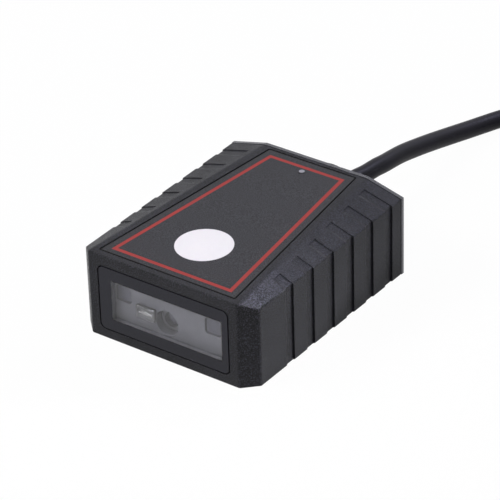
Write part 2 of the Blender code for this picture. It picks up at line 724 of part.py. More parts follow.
def build_housing(looks):
    housing = add_object("housing", build_hull(), looks["shell"], smooth_angle=HULL_SMOOTH)

    bm = bmesh.new()
    rear = HOUSING_END_D + CUT_MARGIN
    steps = HULL_STATIONS
    depths = [FRONT_WALL + (rear - FRONT_WALL) * i / steps for i in range(steps + 1)]
    add_loft(bm, [hull_ring(d, WALL) for d in depths])
    cut(housing, "cut_cavity", bm)

    bm = bmesh.new()
    boss_start = LEDGE_D - SCREW_BOSS_LENGTH
    boss_length = LEDGE_D + CUT_MARGIN / 2 - boss_start
    for x, z in cover_screw_places():
        boss = ((SCREW_BOSS_R, 0.0), (SCREW_BOSS_R, boss_length))
        add_turned(bm, boss, facing(x, boss_start, z))
    cut(housing, "join_screw_bosses", bm, "UNION")

    bm = bmesh.new()
    add_corner_webs(bm, boss_start + SEAT_GAP, LEDGE_D + SEAT_GAP)
    boss_r = INSERT_R + SEAT_GAP + INSERT_WALL
    floor_z = WALL / 2
    for x, d in insert_places():
        boss = ((boss_r, 0.0), (boss_r, MAIN_BOARD_Z - SEAT_GAP - floor_z))
        add_turned(bm, boss, standing(x, d, floor_z))
    post_base = indicator_board_top() + SEAT_GAP
    for side in (-1, 1):
        post = top_z(INDICATOR_D) - WALL / 2 - post_base
        profile = ((INDICATOR_POST_R, 0.0), (INDICATOR_POST_R, post))
        place = standing(side * INDICATOR_POST_X, INDICATOR_D, post_base)
        add_turned(bm, profile, place, SMALL_ROUND)
    cut(housing, "join_bosses", bm, "UNION")

    bm = bmesh.new()
    add_loft(bm, [hull_ring(d, RIM_WALL) for d in (LEDGE_D, rear)])
    for k in range(RIB_COUNT):
        for side in (-1, 1):
            add_pocket(bm, FIRST_RIB_D + k * RIB_PITCH, side)
    recess = rounded_box(
        (-WINDOW_HALF - SEAT_GAP, WINDOW_LOW - SEAT_GAP),
        (WINDOW_HALF + SEAT_GAP, WINDOW_HIGH + SEAT_GAP),
        WINDOW_CORNER_R + SEAT_GAP,
    )
    add_prism(bm, recess, -CUT_MARGIN, WINDOW_LEDGE_D)
    floor = -LABEL_THICKNESS - GLUE_GAP - GLUE_GAP / 3
    corners = label_corners(-SEAT_GAP, -SEAT_GAP, -SEAT_GAP)
    outline = rounded(corners, LABEL_CORNER_R + SEAT_GAP)
    add_top_slab(bm, outline, floor, CUT_MARGIN)
    for x, d in insert_places():
        hole = INSERT_R + SEAT_GAP
        deep = INSERT_RECESS + INSERT_LENGTH + SEAT_GAP
        add_turned(bm, ((hole, -CUT_MARGIN), (hole, deep)), standing(x, d, 0.0))
    cut(housing, "cut_recesses", bm)

    bm = bmesh.new()
    aperture = rounded_box(
        (-APERTURE_HALF, APERTURE_LOW), (APERTURE_HALF, APERTURE_HIGH), APERTURE_CORNER_R
    )
    add_prism(bm, aperture, WINDOW_LEDGE_D - CUT_MARGIN / 2, FRONT_WALL + CUT_MARGIN / 2)
    pilot = COVER_SCREW_PILOT_R
    for x, z in cover_screw_places():
        start = BODY_LENGTH - COVER_SCREW_LENGTH - SEAT_GAP
        add_turned(bm, ((pilot, 0.0), (pilot, LEDGE_D + CUT_MARGIN - start)), facing(x, start, z))
    for side in (-1, 1):
        start = FRONT_WALL - SMALL_SCREW_BITE - SEAT_GAP
        profile = ((SMALL_PILOT_R, 0.0), (SMALL_PILOT_R, FRONT_WALL + CUT_MARGIN / 2 - start))
        add_turned(bm, profile, facing(side * BRACKET_SCREW_X, start, BRACKET_SCREW_Z), SMALL_ROUND)
    hole = LIGHT_PIPE_R + SEAT_GAP
    base = top_z(INDICATOR_D) - WALL - CUT_MARGIN
    profile = ((hole, 0.0), (hole, WALL + 2 * CUT_MARGIN))
    add_turned(bm, profile, standing(0.0, INDICATOR_D, base))
    cut(housing, "cut_holes", bm)
    return housing


# Rear cover, seal and screws
def build_rear_cover(looks):
    bm = bmesh.new()
    lip = RIM_WALL + SEAT_GAP
    add_loft(
        bm,
        [
            hull_ring(LIP_FRONT_D, lip),
            hull_ring(COVER_FRONT_D, lip),
            hull_ring(COVER_FRONT_D),
            hull_ring(BODY_LENGTH - COVER_CHAMFER),
            hull_ring(BODY_LENGTH, COVER_CHAMFER),
        ],
    )
    cover = add_object("rear_cover", bm, looks["cover"])

    bm = bmesh.new()
    neck = GLAND_NECK_R + SEAT_GAP
    start, end = LIP_FRONT_D - CUT_MARGIN, BODY_LENGTH + CUT_MARGIN
    add_turned(bm, ((neck, 0.0), (neck, end - start)), facing(0.0, start, CABLE_EXIT_Z))
    shaft = COVER_SCREW_PILOT_R
    head = COVER_SCREW_HEAD_R + SEAT_GAP
    for x, z in cover_screw_places():
        sink = BODY_LENGTH - start - (head - shaft)
        profile = ((shaft, 0.0), (shaft, sink), (head, BODY_LENGTH - start), (head, end - start))
        add_turned(bm, profile, facing(x, start, z))
    cut(cover, "cut_cover_holes", bm)
    return cover


def build_rear_seal(looks):
    """Rubber frame that the cover's lip presses onto the ledge."""
    bm = bmesh.new()
    outer = RIM_WALL + SEAT_GAP
    add_loft(bm, [hull_ring(d, outer) for d in (SEAL_FRONT_D, SEAL_FRONT_D + SEAL_THICKNESS)])
    seal = add_object("rear_seal", bm, looks["rubber"])
    bm = bmesh.new()
    start, end = SEAL_FRONT_D - CUT_MARGIN, SEAL_FRONT_D + SEAL_THICKNESS + CUT_MARGIN
    half = COVER_SCREW_X - SCREW_BOSS_R
    low, high = 2 * WALL, COVER_SCREW_HIGH_Z + SCREW_BOSS_R / 2
    inside = rounded_box((-half, low), (half, high), SCREW_BOSS_R / 2)
    add_prism(bm, inside, start, end)
    hole = COVER_SCREW_PILOT_R
    for x, z in cover_screw_places():
        add_turned(bm, ((hole, 0.0), (hole, end - start)), facing(x, start, z), SMALL_ROUND)
    cut(seal, "cut_seal", bm)
    return seal


def add_screw(name, matrix, shaft_r, head_r, length, looks, flat_head=True):
    """Screw along local +Z with its head's outer face at the origin and a drive socket."""
    socket = head_r * SCREW_SOCKET_SHARE
    head = head_r - shaft_r if flat_head else SMALL_HEAD_HEIGHT
    deep = head * SCREW_SOCKET_DEPTH_SHARE
    profile = [(0.0, deep), (socket / 2, head / 2), (socket, 0.0), (head_r, 0.0)]
    if not flat_head:
        profile.append((head_r, head))
    point_r = shaft_r * SCREW_POINT_SHARE
    profile += [(shaft_r, head), (shaft_r, length - shaft_r), (point_r, length), (0.0, length)]
    bm = bmesh.new()
    add_turned(bm, profile, Matrix.Identity(4), SMALL_ROUND)
    screw = add_object(name, bm, looks["steel"], smooth_angle=ROUND_SMOOTH)
    screw.matrix_world = matrix
    return screw


def build_cover_screws(looks):
    for number, (x, z) in enumerate(cover_screw_places(), 1):
        add_screw(
            f"cover_screw_{number}",
            facing(x, BODY_LENGTH - GLUE_GAP / 3, z, -1),
            COVER_SCREW_SHAFT_R,
            COVER_SCREW_HEAD_R,
            COVER_SCREW_LENGTH,
            looks,
        )


# Scan window
def build_window(looks):
    bm = bmesh.new()
    outline = rounded_box((-WINDOW_HALF, WINDOW_LOW), (WINDOW_HALF, WINDOW_HIGH), WINDOW_CORNER_R)
    add_prism(bm, outline, 0.0, WINDOW_THICKNESS)
    add_object("scan_window", bm, looks["clear"])

    bm = bmesh.new()
    add_prism(bm, outline, TAPE_FRONT_D, TAPE_FRONT_D + TAPE_THICKNESS)
    tape = add_object("window_tape", bm, looks["tape"])
    bm = bmesh.new()
    view = rounded_box(
        (-WINDOW_HALF + TAPE_SIDE_BORDER, WINDOW_LOW + TAPE_LOW_BORDER),
        (WINDOW_HALF - TAPE_SIDE_BORDER, WINDOW_HIGH - TAPE_HIGH_BORDER),
        VIEW_CORNER_R,
    )
    add_prism(bm, view, TAPE_FRONT_D - CUT_MARGIN / 2, TAPE_FRONT_D + CUT_MARGIN)
    cut(tape, "cut_view", bm)


# Overlay label
def ring_of_points(x, d, radius, count):
    turns = [2 * math.pi * i / count for i in range(count)]
    return [(x + radius * math.cos(a), d + radius * math.sin(a)) for a in turns]


def add_loop(bm, outline, lift):
    """Closed loop of edges over an (x, d) outline, lifted off the sloping top."""
    verts = [bm.verts.new((x, along(d), top_z(d) + lift)) for x, d in outline]
    return [bm.edges.new((a, b)) for a, b in zip(verts, verts[1:] + verts[:1])]


def fill_between(bm, loops, slot):
    edges = [edge for loop in loops for edge in loop]
    made = bmesh.ops.triangle_fill(bm, edges=edges, use_beauty=True)
    for face in made["geom"]:
        if isinstance(face, bmesh.types.BMFace):
            face.material_index = slot


def join_loops(bm, low, high):
    for a, b in zip(low, high):
        side = [a.verts[0], a.verts[1], b.verts[1], b.verts[0]]
        bm.faces.new(side)


def build_label(looks):
    """Printed film with a hole for the indicator; border and badge are fields of colour."""
    top, bottom = -GLUE_GAP / 3, -LABEL_THICKNESS - GLUE_GAP / 3
    outline = rounded(label_corners(), LABEL_CORNER_R)
    hole = ring_of_points(0.0, INDICATOR_D, LIGHT_PIPE_R + SEAT_GAP, POST_ROUND)
    insets = (BORDER_FRONT_INSET, BORDER_REAR_INSET, BORDER_SIDE_INSET)
    bm = bmesh.new()
    edge_top = add_loop(bm, outline, top)
    edge_low = add_loop(bm, outline, bottom)
    hole_top = add_loop(bm, hole, top)
    hole_low = add_loop(bm, hole, bottom)
    border_out = add_loop(bm, label_corners(*insets), top)
    border_in = add_loop(bm, label_corners(*(i + BORDER_WIDTH for i in insets)), top)
    badge = add_loop(bm, ring_of_points(0.0, BADGE_D, BADGE_R, FINE_ROUND), top)
    fill_between(bm, (edge_top, border_out), 0)
    fill_between(bm, (border_out, border_in), 1)
    fill_between(bm, (border_in, badge, hole_top), 0)
    fill_between(bm, (badge,), 2)
    fill_between(bm, (edge_low, hole_low), 0)
    join_loops(bm, edge_low, edge_top)
    join_loops(bm, hole_low, hole_top)
    label = add_object("label", bm, looks["label"])
    label.data.materials.append(looks["border"])
    label.data.materials.append(looks["badge"])


# Status indicator
def build_indicator(looks):
    top = top_z(INDICATOR_D) - GLUE_GAP / 3
    collar_top = top_z(INDICATOR_D) - WALL - SEAT_GAP
    bottom = top_z(INDICATOR_D) - LIGHT_PIPE_LENGTH
    profile = (
        (LIGHT_PIPE_R, 0.0),
        (LIGHT_PIPE_R, collar_top - LIGHT_PIPE_COLLAR - bottom),
        (LIGHT_PIPE_COLLAR_R, collar_top - LIGHT_PIPE_COLLAR - bottom),
        (LIGHT_PIPE_COLLAR_R, collar_top - bottom),
        (LIGHT_PIPE_R, collar_top - bottom),
        (LIGHT_PIPE_R, top - bottom - LIGHT_PIPE_R / 6),
        (LIGHT_PIPE_R * LIGHT_PIPE_TIP_SHARE, top - bottom),
    )
    bm = bmesh.new()
    add_turned(bm, profile, standing(0.0, INDICATOR_D, bottom), INSERT_ROUND)
    add_object("light_pipe", bm, looks["clear"], smooth_angle=ROUND_SMOOTH)

    board_top = indicator_board_top()
    bm = bmesh.new()
    centre = (0.0, INDICATOR_D, board_top + SEAT_GAP + STATUS_LED_SIZE[2] / 2)
    add_box(bm, centre, STATUS_LED_SIZE)
    add_object("status_led", bm, looks["led"])

    bm = bmesh.new()
    centre = (0.0, INDICATOR_D, board_top - INDICATOR_BOARD_SIZE[2] / 2)
    add_box(bm, centre, INDICATOR_BOARD_SIZE)
    add_object("indicator_board", bm, looks["board"])


# Scan engine
def lamp_places():
    return (("left", ENGINE_X - LAMP_OFFSET_X), ("right", ENGINE_X + LAMP_OFFSET_X))


def build_engine_bracket(looks):
    bm = bmesh.new()
    flange = rounded_box((-FLANGE_HALF, FLANGE_LOW_Z), (FLANGE_HALF, FLANGE_HIGH_Z), WALL)
    add_prism(bm, flange, FLANGE_FRONT_D, FLANGE_REAR_D)
    bracket = add_object("engine_bracket", bm, looks["carrier"])

    bm = bmesh.new()
    bezel = rounded_box(
        (ENGINE_X - BEZEL_HALF, APERTURE_LOW + BEZEL_CLEARANCE_HEIGHT),
        (ENGINE_X + BEZEL_HALF, APERTURE_HIGH - BEZEL_CLEARANCE_HEIGHT),
        APERTURE_CORNER_R,
    )
    add_prism(bm, bezel, BEZEL_D, FLANGE_FRONT_D + FLANGE_THICKNESS / 2)
    post_length = SENSOR_BOARD_D - SEAT_GAP - FLANGE_REAR_D
    for side in (-1, 1):
        start = FLANGE_REAR_D - FLANGE_THICKNESS / 3
        profile = ((POST_R, 0.0), (POST_R, post_length + FLANGE_THICKNESS / 3))
        add_turned(bm, profile, facing(ENGINE_X + side * POST_OFFSET_X, start, POST_Z), POST_ROUND)
    cut(bracket, "join_bezel", bm, "UNION")

    bm = bmesh.new()
    start = BEZEL_D - CUT_MARGIN
    through = FLANGE_REAR_D + CUT_MARGIN - start
    add_turned(bm, ((LENS_HOLE_R, 0.0), (LENS_HOLE_R, through)), facing(LENS_X, start, LENS_Z))
    cut(bracket, "cut_lens_hole", bm)
    bm = bmesh.new()
    width, height = (s + 2 * SEAT_GAP for s in AIMER_NECK_SIZE)
    add_box(bm, (AIMER_X, start + through / 2, AIMER_Z), (width, through, height))
    for _, x in lamp_places():
        hole = rounded_window(x, LAMP_Z, LAMP_WINDOW_SIZE, LAMP_WINDOW_CORNER_R)
        add_prism(bm, hole, start, start + through)
    for side in (-1, 1):
        profile = ((SMALL_PILOT_R, 0.0), (SMALL_PILOT_R, through))
        place = facing(side * BRACKET_SCREW_X, start, BRACKET_SCREW_Z)
        add_turned(bm, profile, place, SMALL_ROUND)
        tip = SENSOR_BOARD_D - SMALL_SCREW_BITE - 2 * SEAT_GAP
        profile = ((SMALL_PILOT_R, 0.0), (SMALL_PILOT_R, SMALL_SCREW_BITE + CUT_MARGIN))
        place = facing(ENGINE_X + side * POST_OFFSET_X, tip, POST_Z)
        add_turned(bm, profile, place, SMALL_ROUND)
    cut(bracket, "cut_bracket", bm)
    for side, name in ((-1, "left"), (1, "right")):
        add_screw(
            f"bracket_screw_{name}",
            facing(
                side * BRACKET_SCREW_X,
                FLANGE_REAR_D + SEAT_GAP + SMALL_HEAD_HEIGHT,
                BRACKET_SCREW_Z,
                -1,
            ),
            SMALL_SHAFT_R,
            SMALL_HEAD_R,
            SMALL_HEAD_HEIGHT + SEAT_GAP + FLANGE_THICKNESS + SEAT_GAP + SMALL_SCREW_BITE,
            looks,
            flat_head=False,
        )


def build_aimer(looks):
    """Clear projector lens: a flat head over the bezel and a neck through it."""
    head_d = BEZEL_D - SEAT_GAP - AIMER_HEAD_SIZE[1] / 2
    bm = bmesh.new()
    add_box(bm, (AIMER_X, head_d, AIMER_Z), AIMER_HEAD_SIZE)
    aimer = add_object("aimer_lens", bm, looks["clear"])
    bm = bmesh.new()
    width, height = AIMER_NECK_SIZE
    led_front = LIGHT_BOARD_D - SEAT_GAP - LED_THICKNESS
    start, end = head_d, led_front - SEAT_GAP
    add_box(bm, (AIMER_X, (start + end) / 2, AIMER_Z), (width, end - start, height))
    cut(aimer, "join_neck", bm, "UNION")
    bm = bmesh.new()
    size = (width * AIMER_LED_SHARE, LED_THICKNESS, height * AIMER_LED_SHARE)
    add_box(bm, (AIMER_X, led_front + LED_THICKNESS / 2, AIMER_Z), size)
    add_object("aimer_led", bm, looks["led"])


def build_lamps(looks):
    for name, x in lamp_places():
        bm = bmesh.new()
        size = [s - 2 * SEAT_GAP for s in LAMP_WINDOW_SIZE]
        outline = rounded_window(x, LAMP_Z, size, LAMP_WINDOW_CORNER_R - SEAT_GAP)
        start = BEZEL_D + LAMP_SETBACK
        add_prism(bm, outline, start, start + LAMP_LENS_THICKNESS)
        add_object(f"lamp_lens_{name}", bm, looks["clear"])
        bm = bmesh.new()
        led_d = LIGHT_BOARD_D - SEAT_GAP - LED_THICKNESS / 2
        add_box(bm, (x, led_d, LAMP_Z), (LED_SIZE, LED_THICKNESS, LED_SIZE))
        add_object(f"lamp_led_{name}", bm, looks["led"])


def build_light_board(looks):
    bm = bmesh.new()
    width = 2 * (BEZEL_HALF + LIGHT_BOARD_OVERHANG)
    centre = (ENGINE_X, LIGHT_BOARD_D + BOARD_THICKNESS / 2, APERTURE_CENTRE_Z)
    add_box(bm, centre, (width, BOARD_THICKNESS, LIGHT_BOARD_HEIGHT))
    board = add_object("light_board", bm, looks["board"])
    bm = bmesh.new()
    start = LIGHT_BOARD_D - CUT_MARGIN
    through = BOARD_THICKNESS + 2 * CUT_MARGIN
    barrel = BARREL_R + SEAT_GAP
    add_turned(bm, ((barrel, 0.0), (barrel, through)), facing(LENS_X, start, LENS_Z))
    post = POST_R + SEAT_GAP
    for side in (-1, 1):
        x = ENGINE_X + side * POST_OFFSET_X
        add_turned(bm, ((post, 0.0), (post, through)), facing(x, start, POST_Z), POST_ROUND)
    cut(board, "cut_light_board", bm)


def build_camera(looks):
    """Lens barrel, front lens, holder, image sensor and their board."""
    bm = bmesh.new()
    add_turned(
        bm,
        ((BARREL_R, 0.0), (BARREL_R, BARREL_LENGTH)),
        facing(LENS_X, BARREL_D, LENS_Z),
    )
    barrel = add_object("lens_barrel", bm, looks["chip"], smooth_angle=ROUND_SMOOTH)
    bm = bmesh.new()
    start = BARREL_D - CUT_MARGIN
    profile = (
        (BARREL_BORE_R, 0.0),
        (BARREL_BORE_R, BARREL_LENGTH + 2 * CUT_MARGIN),
    )
    add_turned(bm, profile, facing(LENS_X, start, LENS_Z))
    cut(barrel, "cut_bore", bm)

    bm = bmesh.new()
    crown = FRONT_LENS_THICKNESS * LENS_CROWN_SHARE
    profile = [(0.0, 0.0)]
    for k in range(1, LENS_STEPS + 1):
        share = k / LENS_STEPS
        profile.append((FRONT_LENS_R * share, crown * share * share))
    profile += [(FRONT_LENS_R, FRONT_LENS_THICKNESS), (0.0, FRONT_LENS_THICKNESS)]
    add_turned(bm, profile, facing(LENS_X, BARREL_D + FRONT_LENS_SETBACK, LENS_Z))
    add_object("front_lens", bm, looks["lens"], smooth_angle=ROUND_SMOOTH)

    bm = bmesh.new()
    width, depth, height = HOLDER_SIZE
    add_box(bm, (LENS_X, HOLDER_D + depth / 2, LENS_Z), (width, depth, height))
    holder = add_object("lens_holder", bm, looks["chip"])
    bm = bmesh.new()
    bore = BARREL_R + SEAT_GAP
    start = HOLDER_D - CUT_MARGIN
    pocket_d = HOLDER_D + depth - SENSOR_SIZE[1] - SENSOR_POCKET_CLEARANCE
    profile = ((bore, 0.0), (bore, pocket_d - SEAT_GAP - start))
    add_turned(bm, profile, facing(LENS_X, start, LENS_Z))
    cut(holder, "cut_holder_bore", bm)
    bm = bmesh.new()
    end = HOLDER_D + depth + CUT_MARGIN
    begin = pocket_d - 2 * SEAT_GAP
    size = (
        SENSOR_SIZE[0] + 2 * SENSOR_POCKET_CLEARANCE,
        end - begin,
        SENSOR_SIZE[2] + 2 * SENSOR_POCKET_CLEARANCE,
    )
    add_box(bm, (LENS_X, (begin + end) / 2, LENS_Z), size)
    cut(holder, "cut_sensor_pocket", bm)

    bm = bmesh.new()
    sensor_d = SENSOR_BOARD_D - SEAT_GAP - SENSOR_SIZE[1] / 2
    add_box(bm, (LENS_X, sensor_d, LENS_Z), SENSOR_SIZE)
    add_object("image_sensor", bm, looks["lens"])

    bm = bmesh.new()
    width = 2 * (POST_OFFSET_X + POST_EDGE)
    centre = (ENGINE_X, SENSOR_BOARD_D + BOARD_THICKNESS / 2, APERTURE_CENTRE_Z)
    add_box(bm, centre, (width, BOARD_THICKNESS, SENSOR_BOARD_HEIGHT))
    board = add_object("sensor_board", bm, looks["board"])
    bm = bmesh.new()
    start = SENSOR_BOARD_D - CUT_MARGIN
    for side in (-1, 1):
        x = ENGINE_X + side * POST_OFFSET_X
        profile = ((SMALL_PILOT_R, 0.0), (SMALL_PILOT_R, BOARD_THICKNESS + 2 * CUT_MARGIN))
        add_turned(bm, profile, facing(x, start, POST_Z), SMALL_ROUND)
    cut(board, "cut_sensor_board", bm)
    for side, name in ((-1, "left"), (1, "right")):
        head_d = SENSOR_BOARD_D + BOARD_THICKNESS + SEAT_GAP + SMALL_HEAD_HEIGHT
        add_screw(
            f"sensor_screw_{name}",
            facing(ENGINE_X + side * POST_OFFSET_X, head_d, POST_Z, -1),
            SMALL_SHAFT_R,
            SMALL_HEAD_R,
            SMALL_HEAD_HEIGHT + SEAT_GAP + BOARD_THICKNESS + SEAT_GAP + SMALL_SCREW_BITE,
            looks,
            flat_head=False,
        )


# Boards
def on_board(name, x, d, size, material):
    """Box-shaped component standing on the main board, d at its middle."""
    bm = bmesh.new()
    add_box(bm, (x, d, CHIP_Z + size[2] / 2), size)
    bevel_box(bm, min(size) * CHIP_BEVEL_SHARE)
    return add_object(name, bm, material)


def ease(share):
    """Share that starts and ends slowly, from 0 to 1."""
    return share * share * (3 - 2 * share)


def bevel_box(bm, width):
    bmesh.ops.bevel(
        bm, geom=bm.edges[:], offset=width, segments=1, affect="EDGES", clamp_overlap=True
    )


def build_main_board(looks):
    bm = bmesh.new()
    size = (2 * MAIN_BOARD_HALF, MAIN_BOARD_REAR_D - MAIN_BOARD_FRONT_D, MAIN_BOARD_THICKNESS)
    middle = (MAIN_BOARD_FRONT_D + MAIN_BOARD_REAR_D) / 2
    add_box(bm, (0.0, middle, MAIN_BOARD_Z + MAIN_BOARD_THICKNESS / 2), size)
    add_object("main_board", bm, looks["board"])
    on_board("processor", 0.0, PROCESSOR_D, PROCESSOR_SIZE, looks["chip"])
    on_board("memory_chip", MEMORY_X, PROCESSOR_D, MEMORY_SIZE, looks["chip"])
    on_board("lead_header", HEADER_X, HEADER_D, HEADER_SIZE, looks["socket"])
    on_board("flex_socket", ENGINE_X, FLEX_SOCKET_D, FLEX_SOCKET_SIZE, looks["socket"])
    plug_d = HEADER_D + (HEADER_SIZE[1] + LEAD_PLUG_SIZE[1]) / 2 + SEAT_GAP
    on_board("lead_plug", HEADER_X, plug_d, LEAD_PLUG_SIZE, looks["socket"])

    port = BUZZER_R * BUZZER_PORT_SHARE
    port_floor = BUZZER_HEIGHT * BUZZER_FLOOR_SHARE
    profile = (
        (BUZZER_R, 0.0),
        (BUZZER_R, BUZZER_HEIGHT * BUZZER_SHOULDER_SHARE),
        (BUZZER_R * BUZZER_SHOULDER_SHARE, BUZZER_HEIGHT),
        (port, BUZZER_HEIGHT),
        (port, port_floor),
        (0.0, port_floor),
    )
    bm = bmesh.new()
    add_turned(bm, profile, standing(BUZZER_X, BUZZER_D, CHIP_Z))
    add_object("buzzer", bm, looks["chip"], smooth_angle=ROUND_SMOOTH)


def build_flex(looks):
    """Ribbon that bends from the sensor board's rear socket down to the main board."""
    board_rear = SENSOR_BOARD_D + BOARD_THICKNESS
    plug_d = board_rear + SEAT_GAP + FLEX_PLUG_SIZE[1] / 2
    bm = bmesh.new()
    add_box(bm, (ENGINE_X, plug_d, FLEX_PLUG_Z), FLEX_PLUG_SIZE)
    add_object("flex_plug", bm, looks["socket"])

    start = Vector((0.0, board_rear + 2 * SEAT_GAP + FLEX_PLUG_SIZE[1], FLEX_PLUG_Z))
    end_d = FLEX_SOCKET_D - FLEX_SOCKET_SIZE[1] / 2 - SEAT_GAP
    end = Vector((0.0, end_d, CHIP_Z + FLEX_SOCKET_SIZE[2] / 2))
    span = end.y - start.y
    line = []
    for k in range(FLEX_STEPS + 1):
        t = k / FLEX_STEPS
        line.append(Vector((0.0, start.y + span * t, start.z + (end.z - start.z) * ease(t))))
    half_w, half_t = FLEX_WIDTH / 2, FLEX_THICKNESS / 2
    rings = []
    for k, point in enumerate(line):
        ahead = line[min(k + 1, len(line) - 1)] - line[max(k - 1, 0)]
        normal = Vector((0.0, -ahead.z, ahead.y)).normalized() * half_t
        if k in (0, len(line) - 1):
            normal = Vector((0.0, 0.0, half_t))
        ring = []
        for x, sign in ((-half_w, -1), (half_w, -1), (half_w, 1), (-half_w, 1)):
            place = point + normal * sign
            ring.append(Vector((ENGINE_X + x, along(place.y), place.z)))
        rings.append(ring)
    bm = bmesh.new()
    add_loft(bm, rings)
    add_object("flex_ribbon", bm, looks["flex"])


def build_inserts(looks):
    """Knurled M3 inserts, with a waist between two bands."""
    waist = INSERT_R * INSERT_WAIST_SHARE
    band = INSERT_LENGTH * INSERT_BAND_SHARE
    lead = INSERT_LENGTH * INSERT_LEAD_SHARE
    for number, (x, d) in enumerate(insert_places(), 1):
        bm = bmesh.new()
        profile = (
            (INSERT_BORE_R, 0.0),
            (INSERT_R, 0.0),
            (INSERT_R, band),
            (waist, band + lead),
            (waist, INSERT_LENGTH - band - lead),
            (INSERT_R, INSERT_LENGTH - band),
            (INSERT_R, INSERT_LENGTH - lead),
            (waist, INSERT_LENGTH),
            (INSERT_BORE_R, INSERT_LENGTH),
        )
        add_ring(bm, profile, standing(x, d, INSERT_RECESS), INSERT_ROUND)
        add_object(f"thread_insert_{number}", bm, looks["brass"], smooth_angle=ROUND_SMOOTH)


# Cable and what is on it
def add_tube(name, points, radius, material, resolution=2):
    curve = bpy.data.curves.new(name, "CURVE")
    curve.dimensions = "3D"
    curve.bevel_depth = radius
    curve.bevel_resolution = resolution
    curve.use_fill_caps = True
    spline = curve.splines.new("POLY")
    spline.points.add(len(points) - 1)
    for point, place in zip(spline.points, points):
        point.co = (*place, 1.0)
    curve.materials.append(material)
    tube = bpy.data.objects.new(name, curve)
    bpy.context.scene.collection.objects.link(tube)
    return tube


def build_gland(looks):
    """Moulded grommet: collar inside, neck through the cover, domed flange and short taper."""
    collar_d = LIP_FRONT_D - SEAT_GAP - GLAND_COLLAR
    flange_d = BODY_LENGTH + SEAT_GAP
    flange_end = GLAND_TIP_D - GLAND_TAPER
    edge = GLAND_FLANGE_EDGE_R
    profile = [
        (GLAND_COLLAR_R, 0.0),
        (GLAND_COLLAR_R, GLAND_COLLAR),
        (GLAND_NECK_R, GLAND_COLLAR),
        (GLAND_NECK_R, flange_d - collar_d),
        (GLAND_FLANGE_R, flange_d - collar_d),
    ]
    for k in range(EDGE_STEPS + 1):
        angle = math.pi / 2 * k / EDGE_STEPS
        out = GLAND_FLANGE_R - edge + edge * math.cos(angle)
        profile.append((out, flange_end - collar_d - edge + edge * math.sin(angle)))
    profile.append((GLAND_ROOT_R, flange_end - collar_d))
    profile.append((GLAND_TIP_R, GLAND_TIP_D - collar_d))
    bm = bmesh.new()
    add_turned(bm, profile, facing(0.0, collar_d, CABLE_EXIT_Z), GLAND_ROUND)
    add_object("cable_gland", bm, looks["rubber"], smooth_angle=ROUND_SMOOTH)


def build_inner_lead(looks):
    """Short inner length from the grommet's collar to the plug on the board."""
    start_d = LIP_FRONT_D - 2 * SEAT_GAP - GLAND_COLLAR
    end_d = HEADER_D + HEADER_SIZE[1] / 2 + LEAD_PLUG_SIZE[1] + 2 * SEAT_GAP
    end_z = CHIP_Z + LEAD_PLUG_SIZE[2] / 2
    span = start_d - end_d
    drop = end_z - CABLE_EXIT_Z
    route = [(0.0, along(start_d), CABLE_EXIT_Z)]
    for back, sideways, down in INNER_LEAD_SHARES:
        route.append((HEADER_X * sideways, along(start_d - span * back), CABLE_EXIT_Z + drop * down))
    route.append((HEADER_X, along(end_d), end_z))
    points = smooth_route(route, INNER_LEAD_R)
    add_tube("inner_lead", points, INNER_LEAD_R, looks["jacket"])


def build_coil(looks):
    """Closed ring that the coiled length of the cable fills, and the tie round it."""
    half = COIL_WIDTH / 2
    corners = [
        (COIL_MEAN_R - half, COIL_BASE_Z),
        (COIL_MEAN_R + half, COIL_BASE_Z),
        (COIL_MEAN_R + half, COIL_BASE_Z + COIL_HEIGHT),
        (COIL_MEAN_R - half, COIL_BASE_Z + COIL_HEIGHT),
    ]
    bm = bmesh.new()
    place = Matrix.Translation((COIL_CENTRE_X, COIL_CENTRE_Y, 0.0))
    add_ring(bm, rounded(corners, COIL_CORNER_R, 2), place, FINE_ROUND)
    add_object("cable_coil", bm, looks["jacket"], smooth_angle=ROUND_SMOOTH)

    hole = (COIL_WIDTH + 2 * SEAT_GAP, COIL_HEIGHT + 2 * SEAT_GAP)
    outer = (hole[0] + 2 * TIE_THICKNESS, hole[1] + 2 * TIE_THICKNESS)
    centre_z = COIL_BASE_Z + COIL_HEIGHT / 2
    turn = Matrix.Rotation(TIE_ANGLE, 4, "Z")
    middle = Matrix.Translation((COIL_CENTRE_X, COIL_CENTRE_Y, centre_z))
    frame = middle @ turn @ Matrix.Translation((COIL_MEAN_R, 0, 0))
    bm = bmesh.new()
    size = Matrix.Diagonal((outer[0], TIE_WIDTH, outer[1], 1.0))
    bmesh.ops.create_cube(bm, size=1.0, matrix=frame @ size)
    tie = add_object("coil_tie", bm, looks["rubber"])
    bm = bmesh.new()
    clasp_z = outer[1] / 2 + TIE_CLASP_SIZE[2] / 2 - TIE_THICKNESS / 2
    size = Matrix.Translation((0, 0, clasp_z)) @ Matrix.Diagonal((*TIE_CLASP_SIZE, 1.0))
    bmesh.ops.create_cube(bm, size=1.0, matrix=frame @ size)
    cut(tie, "join_clasp", bm, "UNION")
    bm = bmesh.new()
    size = Matrix.Diagonal((hole[0], TIE_WIDTH * 2, hole[1], 1.0))
    bmesh.ops.create_cube(bm, size=1.0, matrix=frame @ size)
    cut(tie, "cut_tie", bm)


